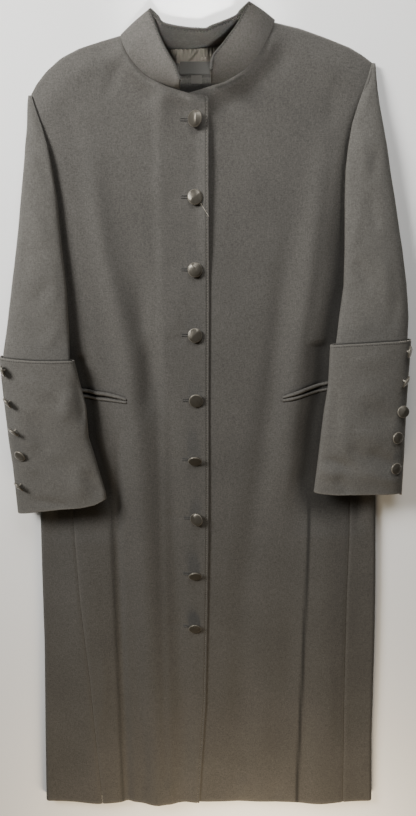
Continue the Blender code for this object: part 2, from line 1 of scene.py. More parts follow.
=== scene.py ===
"""Looks of a clergy robe in matte charcoal crepe, laid on its back with the collar towards +Y.

Right and left are the wearer's, so the right side lies at -X. Up is +Z.
Tables are in millimetres, meshes in metres.
"""

import math

import bpy
import numpy as np
from mathutils import Matrix, Vector


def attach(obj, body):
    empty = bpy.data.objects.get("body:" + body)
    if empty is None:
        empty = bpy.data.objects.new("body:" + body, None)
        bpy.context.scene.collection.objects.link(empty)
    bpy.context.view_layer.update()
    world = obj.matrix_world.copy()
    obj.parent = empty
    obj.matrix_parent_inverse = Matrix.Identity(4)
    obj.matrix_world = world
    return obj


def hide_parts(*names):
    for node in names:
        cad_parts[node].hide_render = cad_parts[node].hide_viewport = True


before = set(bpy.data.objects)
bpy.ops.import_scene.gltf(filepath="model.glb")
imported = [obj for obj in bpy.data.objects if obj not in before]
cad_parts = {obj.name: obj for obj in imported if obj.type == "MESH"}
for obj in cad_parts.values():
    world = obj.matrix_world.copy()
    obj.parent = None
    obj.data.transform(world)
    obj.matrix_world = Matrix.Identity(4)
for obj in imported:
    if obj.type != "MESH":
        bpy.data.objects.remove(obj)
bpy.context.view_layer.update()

MM = 0.001

# Cloth thickness and the way the pieces meet
BODY_WALL = 2.0
SLEEVE_WALL = 1.8
CUFF_WALL = 2.5
COLLAR_WALL = 3.0
LINING_WALL = 1.0
SATIN_WALL = 0.6
TAPE_WALL = 0.8
LIP_WALL = 0.8
SEAM_GAP = 0.3
SEAM_PRESS = 1.1
SEAM_PRESS_WIDTH = 2.4
# How much paler the seams are painted: partly press wear, partly a painted highlight.
SEAM_WEAR_AND_HIGHLIGHT = 0.5
SIDE_SEAM_WEAR_AND_HIGHLIGHT = 0.7

# Body: its rows are straight up to the chest. One lies just above the hem, so that the hem turns crisply.
HEM_Y = -645.0
HEM_ROW = 0.9
HEM_PRESS_WIDTH = 4.0
CHEST_Y = 440.0
UNDERARM = {"right": 380.0, "left": 395.0}

# Height of the front, which falls towards the side edges and the shoulders and never goes through the back.
FRONT_HEIGHT = 16.0
EDGE_HEIGHT = 14.0
EDGE_FALL_START = 190.0
EDGE_FALL = 50.0
SHOULDER_HEIGHT = 4.4
SHOULDER_FALL = 38.0
LOWEST_FRONT = 4.4

# How far the side panels turn under, and how far the left front reaches under the right.
UNDER_TURN = 26.0
UNDERLAP_X = -57.0

# The right front climbs over the left. Its placket curls up, sinks at the stitches and has a rounded edge.
LAP_LIFT = 3.0
LAP_START_X = -78.0
LAP_CLIMB = 15.0
PLACKET_CURL = 20.0
PLACKET_STITCH_INSET = 3.4
PLACKET_STITCH_PRESS = 1.1
PLACKET_STITCH_WIDTH = 1.1
PLACKET_ROUND = 0.9
PLACKET_ROUND_WIDTH = 1.6
PLACKET_TOP_Y = 538.0

# Creases bend a little and die out at their two ends and at the shoulder. Cloth gets painted shade where it
# sinks.
CREASE_BEND = 0.12
CREASE_REACH = 0.42
CREASE_FADE = 18.0
SHADE_FROM = 2.0
SHADE_OVER = 7.0

# The front rises to the neck seam, then rolls up and dips beside it: rise, distance and width.
NECK_RISE = 8.0
NECK_SPREAD = 24.0
NECK_ROLLS = ((1.5, 8.0, 5.0), (-1.3, 26.0, 10.0))
NECK_ROLL_FADE = 24.0

# Sleeves and cuffs are flattened tubes, with so many steps under, over and back to the seam. They bend down
# just outside the body's side edge, held up by the cloth a little way in. The sleeve runs on inside the cuff.
TUBE_LAP = 12
TUBE_OVER = 40
TUBE_UNDER = 14
TUBE_ROUNDNESS = 0.58
KNEE_OUT = 1.5
KNEE_REST = 12.0
CUFF_INSET = 4.3

# Cloth on the body rests on the highest of nine points round it, and sinks where it hangs past the side edge.
REST_BESIDE = 7.0
REST_LENGTHWISE = 30.0
HANG_START = 2.0
HANG_OVER = 16.0

# The sleeve starts a little inside the cuff, shares its creases there and has painted shade until it comes
# out of it.
SLEEVE_INSIDE_CUFF = 8.0
CUFF_CREASES_ABOVE = 6.0
CUFF_CREASES_FADE = 14.0
CUFF_SHADE_ABOVE = 0.6
CUFF_SHADE_FADE = 2.2
TIP_FADE = 40.0

# Collar: columns along it, how far its base stands off the cloth, and the painted shade line along its free
# edges, as wide, in shares of the height, as the paler painted line at the ends of the cuffs.
COLLAR_COLUMNS = 181
COLLAR_OFF_BACK = 1.0
COLLAR_OFF_FRONT = 3.6
COLLAR_EDGE_PAINTED_SHADE = 0.9
RIM_LINE_WIDTH = 0.012

# Covered buttons: radius, then the mould's profile, out in shares of the radius and up in mm.
FRONT_BUTTON_RADIUS = 10.7
CUFF_BUTTON_RADIUS = 9.0
BUTTON_THICKNESS = 4.8
BUTTON_SHANK = 0.9
SHANK_RADIUS = 1.0
SHANK_RINGS = (0.0, 0.25, 0.5, 0.75, 0.98)
BUTTON_GAP = 0.45
BUTTON_SEGMENTS = 48
BUTTON_PROFILE = [
    (0.3, 0.1), (0.62, 0.2), (0.86, 0.4), (0.96, 0.8), (1.0, 1.4), (1.0, 2.6), (0.985, 3.0), (0.95, 3.35),
    (0.88, 3.6), (0.77, 3.8), (0.62, 3.95), (0.46, 4.05), (0.3, 4.1), (0.14, 4.12),
]
GATHERED_RINGS = (1, 2, 3)
GATHER_DEPTH = 0.03
GATHERS = 12.0
FIRST_FACE_RING = 7
# How far the satin is drawn taut at the rings of the rim, which are painted paler: partly the opened floats,
# partly a painted highlight on the rim.
BUTTON_RIM = ((5, 0.5), (6, 1.0), (7, 0.6))
# The rings of the rim that could touch the cloth: out in shares of the radius, and up in mm.
RIM_CHECKS = ((1.0, 1.0), (0.97, 2.6))

# Buttonholes: from where to where beside the middle of the button, the stitches along each lip, how far each
# lip lies from the slit, its radius, and how much shorter every second stitch is.
HOLE_START = 20.0
HOLE_END = 3.0
HOLE_STITCHES = 26
HOLE_LIP = 1.5
HOLE_LIP_RADIUS = 0.7
HOLE_SHORT_STITCH = 0.78

# Stitches in mm: half thickness, length and the gap between two.
PLACKET_STITCH = (0.5, 2.3, 1.7)
COLLAR_OUTER_STITCH = (0.75, 2.2, 1.5)
COLLAR_INNER_STITCH = (0.55, 2.6, 1.6)
CUFF_STITCH = (0.4, 2.4, 1.2)
OVERCAST_STITCH = (0.5, 1.5, 1.7)
OVERCAST_SLANT = 1.5

# The way out from the middle of the robe on each side.
SIDE = {"right": -1.0, "left": 1.0}


def table(names, rows):
    """A dictionary of columns, named in the order given, from a list of rows."""
    return dict(zip(names.split(), np.array(rows, float).T))


def at(rows, value, y):
    """The column called value at height y, between the rows of a table sorted by y."""
    return np.interp(y, rows["y"], rows[value])


# Outer boundary of each front panel: long side seam, then armhole up to the shoulder tip.
BOUNDARY = {
    "right": table("y x", [
        (-645, -192.0), (-533, -197.2), (-386, -202.8), (-229, -212.1), (-69, -216.8),
        (100, -221.0), (200, -224.0), (300, -226.0), (380, -225.0), (395, -223.0),
        (415, -219.5), (440, -219.0), (462, -221.5), (488, -226.5), (510, -232.5),
        (536, -240.3), (548, -243.5),
    ]),
    "left": table("y x", [
        (-645, 251.0), (-533, 246.4), (-386, 240.0), (-229, 234.7), (-69, 232.2),
        (100, 229.0), (200, 228.0), (300, 227.0), (395, 222.0), (410, 214.0),
        (430, 207.0), (450, 203.0), (479, 201.5), (510, 204.5), (539, 212.0),
        (560, 219.5), (584, 226.5), (588, 227.5),
    ]),
}

# Folded side edge of the body.
EDGE = {
    "right": table("y x", [
        (-645, -299.0), (-518, -292.2), (-311, -280.2), (-195, -275.9), (-72, -270.8),
        (100, -260.0), (200, -253.0), (300, -246.0), (380, -240.0),
    ]),
    "left": table("y x", [
        (-645, 306.5), (-518, 298.0), (-311, 289.4), (-195, 283.2), (-72, 274.8),
        (100, 264.0), (200, 257.0), (300, 250.0), (395, 244.0),
    ]),
}

# Placket edge of the right front, on top of the left, and how far it curls up.
PLACKET = table("y x lift", [
    (-645, -14.0, 0.4), (-621, -12.8, 0.4), (-426, -1.5, 0.4), (-320, 0.4, 0.4), (-223, 2.0, 0.6),
    (-177, 2.4, 0.9), (-132, 2.9, 1.2), (-45, 3.6, 0.9), (40, 3.6, 0.6), (80, 3.6, 0.4),
    (118, 3.5, 0.3), (270, 4.2, 0.3), (306, 4.0, 0.8), (340, 3.8, 3.0), (374, 3.6, 4.0),
    (410, 3.4, 5.2), (441, 3.3, 6.0), (473, 3.2, 5.6), (506, 3.3, 4.0), (534.3, 3.4, 2.0),
    (538.7, 2.8, 1.5), (541.7, 0.6, 1.2),
])

# Shoulder seams from the tip to the neck, then the neck seam of each front and of the back.
SHOULDER = {
    "right": table("x y", [
        (-243.5, 548.0), (-234.4, 562.0), (-221.1, 576.9), (-199.5, 594.1),
        (-173.0, 606.3), (-144.1, 614.7), (-114.6, 622.4),
    ]),
    "left": table("x y", [
        (227.5, 588.0), (212.8, 597.7), (194.6, 607.5), (160.1, 619.6),
        (125.9, 630.4), (91.4, 637.8),
    ]),
}

NECKLINE = {
    "right": table("x y", [
        (-114.6, 622.4), (-105.0, 593.2), (-82.7, 568.4), (-56.0, 554.8),
        (-35.8, 548.6), (-19.6, 544.5), (-4.8, 543.2), (0.6, 541.7),
    ]),
    "left": table("x y", [
        (91.4, 637.8), (74.1, 599.1), (51.6, 574.5), (24.9, 559.6), (6.0, 555.0),
        (-8.8, 550.6), (-30.0, 545.0), (-57.0, 541.5),
    ]),
}

BACK_NECKLINE = table("x y", [
    (-114.6, 622.4), (-85.0, 613.5), (-51.0, 607.5), (-11.6, 608.5), (14.2, 611.0),
    (50.0, 619.0), (75.0, 628.5), (91.4, 637.8),
])

# Standing collar, from its right front end round the back to its left front end.
COLLAR = table("base_x base_y top_x top_y top_z back", [
    (-35.8, 548.6, -34.9, 549.7, 70, 0),
    (-56.0, 554.8, -40.1, 568.6, 64, 0),
    (-82.7, 568.4, -55.5, 594.0, 56, 0),
    (-105.0, 593.2, -68.1, 623.7, 52, 0),
    (-114.6, 622.4, -71.7, 637.9, 50, 0),
    (-85.0, 613.5, -62.0, 630.0, 50, 1),
    (-51.0, 607.5, -51.6, 621.0, 50, 1),
    (-11.6, 608.5, -8.3, 614.3, 50, 1),
    (14.2, 611.0, 7.1, 618.9, 50, 1),
    (50.0, 619.0, 35.0, 629.0, 50, 1),
    (75.0, 628.5, 42.6, 636.0, 50, 1),
    (91.4, 637.8, 55.3, 645.7, 50, 0),
    (74.1, 599.1, 42.8, 623.7, 52, 0),
    (51.6, 574.5, 23.7, 599.6, 56, 0),
    (24.9, 559.6, 9.7, 580.7, 62, 0),
    (6.0, 555.0, 7.0, 561.8, 68, 0),
])

# Long soft folds of the front: where each runs, how far it rises or sinks and how wide it spreads.
FOLDS = [
    table("y x rise spread", [
        (-645, -90, 9.0, 25), (-340, -95, 9.0, 25), (-185, -100, 9.0, 25), (0, -104, 9.0, 24),
        (71, -108, 9.0, 22), (197, -120, 8.0, 19), (270, -135, 7.5, 17), (340, -149, 6.0, 15),
        (420, -158, 4.0, 15), (500, -160, 0.0, 15),
    ]),
    table("y x rise spread", [
        (-645, -42, -3.0, 18), (-185, -52, -4.0, 18), (71, -60, -4.0, 18), (197, -88, -4.0, 15),
        (270, -103, -3.0, 14), (340, -111, -2.0, 13), (400, -118, 0.0, 13),
    ]),
    table("y x rise spread", [
        (-645, -146, -4.0, 9), (-300, -147, -5.0, 8), (-77, -146, -5.0, 8), (20, -140, -3.0, 8),
        (80, -135, 0.0, 8),
    ]),
    table("y x rise spread", [
        (-645, -205, 5.0, 42), (-225, -212, 6.0, 42), (-60, -216, 3.0, 42), (40, -216, 0.0, 42),
    ]),
    table("y x rise spread", [
        (-60, 118, 0.0, 18), (0, 124, 3.0, 18), (71, 128, 4.5, 17), (121, 132, 5.0, 16),
        (213, 140, 5.0, 15), (302, 150, 5.0, 15), (386, 156, 5.0, 16), (450, 160, 3.0, 16),
        (520, 165, 0.0, 16),
    ]),
    table("y x rise spread", [
        (-645, 60, -2.0, 24), (-225, 60, -3.0, 24), (0, 86, -4.0, 20), (121, 98, -4.0, 16),
        (213, 105, -4.0, 15), (290, 112, -3.0, 15), (360, 120, -1.5, 15), (430, 125, 0.0, 15),
    ]),
    table("y x rise spread", [
        (-645, 215, 6.0, 42), (-225, 200, 6.0, 42), (-44, 185, 4.0, 34), (60, 175, 0.0, 30),
    ]),
]

# Short soft creases of the fronts, each a ridge or a trough between two points.
FRONT_CREASES = table("x0 y0 x1 y1 width rise", [
    (-104, 592, -136, 562, 6, -2.2), (-112, 600, -150, 584, 7, 1.8), (-118, 570, -142, 540, 7, -1.6),
    (-104, 566, -62, 536, 11, -1.8), (-62, 536, -20, 526, 10, -1.7), (-150, 596, -176, 566, 9, 1.2),
    (116, 602, 84, 570, 12, -1.5), (84, 572, 44, 542, 12, -1.8), (46, 544, 12, 530, 10, -1.6),
    (84, 612, 104, 592, 6, -1.6), (92, 620, 120, 600, 7, 1.4), (150, 600, 176, 560, 12, 1.6),
    (-200, 540, -176, 480, 12, -1.5), (176, 560, 168, 500, 12, -1.6),
    (-60, 470, -76, 400, 16, 1.2), (-90, 330, -96, 210, 13, -2.4), (-86, 215, -90, 90, 12, -2.8),
    (60, 460, 70, 380, 18, 1.1), (40, 350, 52, 250, 18, -1.0), (-40, 300, -52, 220, 16, 0.9),
    (-30, 420, -60, 404, 6, -0.8), (-30, 318, -58, 326, 6, -0.8), (-30, 214, -62, 206, 6, -0.9),
    (-32, 20, -66, 30, 7, -0.9), (-32, -80, -70, -72, 7, -0.9), (-34, -276, -70, -268, 8, -0.8),
    (-60, -330, -54, -480, 16, 1.4), (-34, -420, -40, -600, 14, -1.4), (40, -300, 34, -470, 18, 1.3),
    (100, -380, 104, -560, 18, 1.5), (140, -240, 146, -420, 15, -1.5), (20, -520, 24, -644, 14, -1.5),
    (-176, -300, -182, -480, 9, 1.6), (-110, -470, -112, -640, 9, -1.6), (170, -470, 178, -640, 14, -1.6),
    (214, -330, 222, -500, 10, 1.2), (66, -590, 68, -645, 12, 1.6), (-70, -590, -72, -645, 10, 1.8),
    (124, -600, 128, -645, 10, -1.5), (-150, -600, -152, -645, 9, -1.4),
])

# Hollow of the front beside each sleeve: where it starts and is full, from the sleeve's inner edge.
HOLLOW = {
    "right": table("y start full depth", [
        (-120, 22, -2, 0.0), (-70, 22, -2, 5.0), (-30, 20, 0, 9.0), (120, 20, 0, 10.0),
        (180, 18, 0, 8.0), (230, 12, 0, 5.0), (300, 9, -1, 4.0), (390, 8, -2, 3.5),
        (450, 8, -3, 3.0), (500, 8, -4, 0.0),
    ]),
    "left": table("y start full depth", [
        (-110, 44, -4, 0.0), (-60, 44, -4, 7.0), (-10, 42, 0, 12.5), (80, 40, 0, 12.5),
        (160, 36, -2, 12.0), (230, 34, -2, 11.0), (300, 30, -4, 10.0), (345, 28, -4, 9.0),
        (400, 20, -6, 7.0), (450, 14, -6, 5.0), (500, 10, -6, 3.0), (550, 8, -8, 0.0),
    ]),
}

# The hollow fades out near the folded side edge.
HOLLOW_RIM = 8.0
HOLLOW_RIM_FADE = 24.0

# How dark the painted shadow line beside each sleeve is. It lies just off the sleeve and starts below the
# sleeve's tip.
PAINTED_SLEEVE_SHADOW = {"right": 0.6, "left": 1.3}
PAINTED_SLEEVE_SHADOW_OFF = 1.0
PAINTED_SLEEVE_SHADOW_WIDTH = 2.6
PAINTED_SLEEVE_SHADOW_START = 20.0
PAINTED_SLEEVE_SHADOW_FADE = 90.0

# Sleeves: inner and outer edge, their heights, height of the top and gap to what lies under.
ARM = {
    "right": table("y inner outer inner_z outer_z top gap", [
        (183, -202.4, -304.8, 35, 19.5, 44.0, 8.6), (196, -202.4, -303.0, 33, 18, 43.5, 8.4),
        (225, -202.8, -297.0, 28, 15, 41, 0.9), (288, -203.8, -285.0, 26, 14, 38, 0.9),
        (337, -207.0, -275.6, 24, 13, 35, 0.9), (371, -209.2, -269.5, 23, 12, 33, 0.9),
        (409, -210.8, -263.5, 22, 12, 31, 0.9), (435, -213.8, -259.2, 22, 11, 29.5, 0.9),
        (461, -216.8, -255.0, 21.5, 10, 28, 0.9), (482, -220.4, -252.5, 19.5, 10, 24, 0.9),
        (506, -227.0, -248.9, 17.2, 9, 19.6, 0.9), (525, -233.6, -247.4, 15.6, 8, 17.2, 0.9),
        (536, -237.4, -246.9, 12.0, 7, 13.4, 0.9), (547, -241.2, -246.2, 7.2, 5, 8.2, 0.9),
    ]),
    "left": table("y inner outer inner_z outer_z top gap", [
        (203, 189.6, 298.4, 35, 19.5, 44.0, 8.6), (219, 191.4, 298.0, 33, 18, 43.5, 8.4),
        (246, 194.2, 298.0, 28, 15, 42, 0.9), (290, 198.4, 292.0, 27, 14, 40, 0.9),
        (341, 197.4, 282.2, 26, 13, 38, 0.9), (371, 196.1, 275.4, 25, 12, 36, 0.9),
        (409, 194.4, 267.1, 24, 12, 34, 0.9), (448, 193.6, 257.7, 24, 11, 32, 0.9),
        (478, 195.6, 251.6, 22.5, 10, 30, 0.9), (509, 200.0, 244.0, 19.5, 10, 25, 0.9),
        (537, 208.2, 237.2, 17.4, 9, 20.4, 0.9), (556, 215.0, 233.6, 15.8, 8, 17.6, 0.9),
        (572, 220.3, 231.6, 12.2, 7, 13.6, 0.9), (587, 225.0, 230.4, 7.2, 5, 8.2, 0.9),
    ]),
}

# Cuffs: the same columns, outside the sleeve.
CUFF = {
    "right": table("y inner outer inner_z outer_z top gap", [
        (-64, -156.0, -300.2, 36, 20, 50, 3.2), (-37, -158.3, -301.0, 36, 20, 50, 3.2),
        (26, -172.7, -302.5, 35, 20, 51, 3.2), (58, -180.4, -305.0, 35, 20, 52, 3.2),
        (110, -182.4, -307.0, 35, 20, 52, 3.2), (147, -189.5, -308.5, 35, 19, 51, 3.2),
        (187, -196.6, -309.5, 35, 19, 50, 3.2),
    ]),
    "left": table("y inner outer inner_z outer_z top gap", [
        (-36, 166.6, 308.3, 36, 20, 50, 3.2), (-23, 167.3, 308.0, 36, 20, 50, 3.2),
        (31, 171.8, 306.7, 35, 20, 51, 3.2), (73, 174.5, 304.9, 35, 20, 52, 3.2),
        (110, 177.3, 303.6, 35, 20, 52, 3.2), (149, 181.5, 303.3, 35, 19, 51, 3.2),
        (213, 181.7, 303.0, 35, 19, 50, 3.2),
    ]),
}

# The two ends of each cuff, at shares of the way across from the inner to the outer edge.
CUFF_ENDS = {
    "right": table("across top end", [
        (0.0, 183.0, -35.0), (0.12, 183.4, -43.0), (0.28, 183.4, -47.0), (0.5, 184.0, -49.0),
        (0.72, 185.6, -53.0), (1.0, 187.6, -61.0),
    ]),
    "left": table("across top end", [
        (0.0, 206.0, -23.5), (0.03, 206.3, -24.3), (0.24, 208.5, -25.7), (0.38, 209.6, -24.7),
        (0.64, 211.6, -24.2), (0.93, 212.8, -25.6), (0.98, 213.0, -28.0), (1.0, 213.0, -33.0),
    ]),
}

# Soft creases and dents of the cuffs and of the sleeves.
CUFF_CREASES = {
    "right": table("x0 y0 x1 y1 width rise", [
        (-190, 160, -181, 84, 9, -6.0), (-206, 138, -211, 92, 9, 2.4), (-262, 112, -232, 34, 17, -3.6),
        (-284, 112, -262, 40, 13, 1.8), (-240, 40, -196, -4, 14, -2.4), (-284, 36, -262, 6, 12, 1.5),
        (-274, -32, -210, -43, 7, -2.1), (-186, 14, -164, -34, 11, -2.7), (-204, 24, -190, -34, 10, 1.8),
        (-274, 158, -222, 130, 15, 1.4), (-244, 132, -214, 118, 10, -1.0),
    ]),
    "left": table("x0 y0 x1 y1 width rise", [
        (232, 116, 284, 90, 13, -2.5), (240, 46, 296, 16, 12, -3.9), (228, 16, 304, -6, 11, 2.8),
        (178, 34, 228, 17, 8, -2.7), (170, 18, 206, 0, 10, 2.7), (194, 8, 222, -22, 8, -2.5),
        (222, 80, 266, 58, 10, 1.7), (203, 104, 212, 34, 11, 1.8), (190, 150, 196, 64, 9, -1.8),
        (216, 54, 244, 32, 8, -1.7), (206, 180, 268, 192, 13, 1.2), (226, 148, 266, 126, 14, 1.4),
    ]),
}
SLEEVE_CREASES = {
    "right": table("x0 y0 x1 y1 width rise", [
        (-214, 236, -234, 200, 8, 1.6), (-222, 300, -250, 262, 10, -1.8), (-246, 400, -226, 346, 9, 1.4),
        (-232, 470, -216, 420, 7, -1.6), (-276, 270, -256, 214, 9, 1.2), (-256, 350, -262, 300, 8, -1.4),
        (-240, 524, -232, 486, 6, 1.2), (-208, 330, -206, 262, 7, -1.4),
    ]),
    "left": table("x0 y0 x1 y1 width rise", [
        (204, 262, 232, 222, 9, 1.6), (212, 330, 236, 284, 9, -2.0), (250, 330, 262, 268, 8, 1.6),
        (226, 420, 240, 366, 8, -1.8), (210, 500, 220, 440, 7, 1.6), (276, 280, 268, 226, 8, -1.4),
        (236, 480, 230, 430, 7, -1.4), (222, 560, 214, 520, 6, 1.2), (214, 400, 208, 340, 7, 1.4),
    ]),
}

# Pocket mouths, from the front end to the side seam: middle, half opening and width of each lip.
POCKETS = {
    "right": table("x y open upper lower", [
        (-213.0, 128.6, 2.1, 5.6, 4.6), (-183.5, 125.6, 2.0, 6.0, 4.7), (-170.7, 124.3, 1.8, 6.3, 4.6),
        (-158.0, 123.0, 1.5, 6.5, 4.6), (-145.5, 121.0, 1.1, 6.2, 4.5), (-132.7, 119.3, 0.6, 5.4, 4.5),
        (-122.9, 118.0, 0.3, 3.9, 3.9),
    ]),
    "left": table("x y open upper lower", [
        (116.7, 120.3, 0.3, 3.9, 4.4), (126.5, 123.2, 0.4, 5.6, 5.5), (138.6, 126.2, 0.7, 6.6, 5.1),
        (151.9, 129.6, 1.2, 6.7, 4.8), (167.4, 133.2, 1.8, 6.2, 4.5), (183.0, 136.6, 2.2, 5.8, 4.4),
        (219.0, 144.0, 2.3, 5.8, 4.4),
    ]),
}
# The mouth sinks deepest where it is widest and fades out at its front end; the mouth and the seams of its
# lips get painted shade.
POCKET_DEPTH = 7.0
POCKET_WIDEST = 2.5
POCKET_SHALLOWEST = 0.25
POCKET_RIM = 0.6
POCKET_END = 0.5
POCKET_END_FADE = 2.0
POCKET_SEAM = 0.9
POCKET_SEAM_SHADE = 0.75
LIP_LIFT = 0.5
# Between these heights the rows of a front lie 1 mm apart, to hold the pocket mouth.
POCKET_ROWS = {"right": (96.0, 142.0), "left": (98.0, 158.0)}

# Middle of each covered button, which way it leans, and the low ridge that its satin is drawn into.
FRONT_BUTTONS = table("x y lean_x lean_y ridge rise crest", [
    (-16.0, 513.8, -0.5, 0.0, 90, 3.2, -0.35), (-16.3, 413.4, -0.05, 0.12, 42, 1.6, 0.0),
    (-16.8, 313.4, 0.0, 0.06, 128, 2.6, -0.1), (-17.4, 218.4, 0.0, 0.06, 45, 1.6, 0.1),
    (-16.4, 118.4, 0.0, -0.22, 10, 0.5, 0.0), (-18.4, 22.4, 0.0, -0.72, 0, 0.4, 0.0),
    (-16.6, -77.0, -0.4, -0.05, 116, 2.4, 0.0), (-19.3, -177.0, 0.05, -0.6, 0, 0.4, 0.0),
    (-20.0, -276.0, 0.0, -0.42, 0, 0.3, 0.0),
])
LOOSE_THREAD = [(-8.2, 404.8), (-3.7, 397.6), (3.2, 386.9)]

CUFF_BUTTONS = {
    "right": table("x y lean_x lean_y ridge rise crest", [
        (-299.0, 169.9, -2.2, -0.7, 80, 1.2, 0.0), (-294.5, 122.2, -2.0, -1.5, 60, 1.2, 0.0),
        (-288.0, 77.9, -1.3, -1.9, 30, 1.2, 0.0), (-283.0, 39.0, -0.4, -0.4, 20, 1.0, 0.0),
        (-288.3, -9.8, -1.4, -1.4, 45, 1.2, 0.0),
    ]),
    "left": table("x y lean_x lean_y ridge rise crest", [
        (296.0, 197.4, 2.1, -0.2, 90, 1.2, 0.0), (292.9, 153.5, 2.0, -1.1, 110, 1.2, 0.0),
        (293.0, 107.8, 0.1, 0.15, 60, 1.8, 0.0), (287.6, 67.6, 0.35, 0.05, 120, 1.6, 0.2),
        (289.2, 18.4, 0.35, 0.0, 30, 1.4, 0.2),
    ]),
}


# Finishes


def linear(hex_colour):
    """An sRGB hex colour as linear red, green, blue and alpha."""
    parts = [int(hex_colour[start:start + 2], 16) / 255.0 for start in (1, 3, 5)]
    return (*[part / 12.92 if part <= 0.04045 else ((part + 0.055) / 1.055) ** 2.4 for part in parts], 1.0)


def add_node(tree, kind, inputs=None, **settings):
    """A node with its settings, each input set to a value or linked from (node, output)."""
    made = tree.nodes.new(kind)
    for name, value in settings.items():
        setattr(made, name, value)
    for name, value in (inputs or {}).items():
        if isinstance(value, tuple) and isinstance(value[0], bpy.types.Node):
            tree.links.new(value[0].outputs[value[1]], made.inputs[name])
        else:
            made.inputs[name].default_value = value
    return made


def grain_scale(size):
    """Scale of a noise whose grain is so many mm."""
    return 1.0 / (size * MM)


def band_scale(spacing):
    """Scale of a wave whose bands lie so many mm apart."""
    return 2.0 * math.pi / 20.0 / (spacing * MM)


def new_finish(name):
    """An empty node material, its tree and its coordinates."""
    made = bpy.data.materials.new(name)
    made.use_nodes = True
    made.node_tree.nodes.clear()
    return made, made.node_tree, add_node(made.node_tree, "ShaderNodeTexCoord")


def threads(tree, coords, spacing, run):
    """Two sets of crossing threads, each a noise drawn out along its own thread. Sizes in mm."""
    sets = []
    fine, long = grain_scale(spacing), grain_scale(run)
    for stretch in ((fine, long, fine), (long, fine, long)):
        laid = add_node(tree, "ShaderNodeMapping", {"Vector": (coords, "Object"), "Scale": stretch})
        sets.append(add_node(tree, "ShaderNodeTexNoise", {
            "Vector": (laid, "Vector"), "Scale": 1.0, "Detail": 2.0, "Roughness": 0.55,
        }))
    return add_node(tree, "ShaderNodeMath", {0: (sets[0], "Fac"), 1: (sets[1], "Fac")}, operation="MAXIMUM")


def crepe(name, deep, pale):
    """Wool and polyester crepe, woven plain from hard twisted yarn and pressed.

    The twist scatters the light, so it looks matte and finely pebbled, with a faint bloom at
    grazing angles. Along edges, seams and the hem that an iron or a hand has flattened, it is painted paler,
    partly press wear and partly a painted highlight; where it sinks it gets painted shade.
    """
    made, tree, coords = new_finish(name)
    # Real yarns lie 0.45 mm apart, too fine for the picture, so they are drawn 1.5 mm apart.
    yarn = threads(tree, coords, 1.5, 5.5)
    pebble = add_node(tree, "ShaderNodeTexNoise", {
        "Vector": (coords, "Object"), "Scale": grain_scale(1.9), "Detail": 3.0, "Roughness": 0.65,
    })
    mottle = add_node(tree, "ShaderNodeTexNoise", {
        "Vector": (coords, "Object"), "Scale": grain_scale(85.0), "Detail": 2.0, "Roughness": 0.5,
    })
    grain = add_node(tree, "ShaderNodeMath", {0: (yarn, "Value"), 1: (pebble, "Fac")}, operation="ADD")
    grain_share = add_node(tree, "ShaderNodeMapRange", {
        "Value": (grain, "Value"), "From Min": 0.78, "From Max": 1.42, "To Min": 0.0, "To Max": 1.0,
    })
    tone = add_node(tree, "ShaderNodeMix", {
        "Factor": (grain_share, "Result"), "A": linear(deep), "B": linear(pale),
    }, data_type="RGBA")
    cloud = add_node(tree, "ShaderNodeMapRange", {
        "Value": (mottle, "Fac"), "From Min": 0.3, "From Max": 0.7, "To Min": 0.93, "To Max": 1.05,
    })
    clouded = add_node(tree, "ShaderNodeVectorMath", {
        0: (tone, "Result"), "Scale": (cloud, "Result"),
    }, operation="SCALE")
    # Paler paint at edges, seams and the hem: partly press wear, partly a painted highlight.
    pressed = add_node(tree, "ShaderNodeAttribute", attribute_name="pressed")
    press_highlight_share = add_node(tree, "ShaderNodeMath", {0: (pressed, "Fac"), 1: 0.14}, operation="MULTIPLY")
    wear_and_highlight_tone = add_node(tree, "ShaderNodeMix", {
        "Factor": (press_highlight_share, "Value"), "A": (clouded, "Vector"), "B": linear("#8a857c"),
    }, data_type="RGBA")
    # Painted shade: the colour is darkened where the cloth sinks into hollows, gaps and pocket mouths, inside
    # the cuffs and along the collar's free edges.
    sunk = add_node(tree, "ShaderNodeAttribute", attribute_name="sunk")
    kept = add_node(tree, "ShaderNodeMapRange", {
        "Value": (sunk, "Fac"), "From Min": 0.0, "From Max": 1.0, "To Min": 1.0, "To Max": 0.42,
    })
    shown = add_node(tree, "ShaderNodeVectorMath", {
        0: (wear_and_highlight_tone, "Result"), "Scale": (kept, "Result"),
    }, operation="SCALE")
    rough = add_node(tree, "ShaderNodeMapRange", {
        "Value": (grain_share, "Result"), "From Min": 0.0, "From Max": 1.0, "To Min": 0.92, "To Max": 0.8,
    })
    relief = add_node(tree, "ShaderNodeBump", {
        "Height": (grain, "Value"), "Strength": 0.45, "Distance": 0.0006,
    })
    shader = add_node(tree, "ShaderNodeBsdfPrincipled", {
        "Base Color": (shown, "Vector"), "Roughness": (rough, "Result"), "Normal": (relief, "Normal"),
        "IOR": 1.5, "Specular IOR Level": 0.28, "Sheen Weight": 0.16, "Sheen Roughness": 0.45,
        "Sheen Tint": linear("#b9b3a8"),
    })
    add_node(tree, "ShaderNodeOutputMaterial", {"Surface": (shader, "BSDF")})
    return made


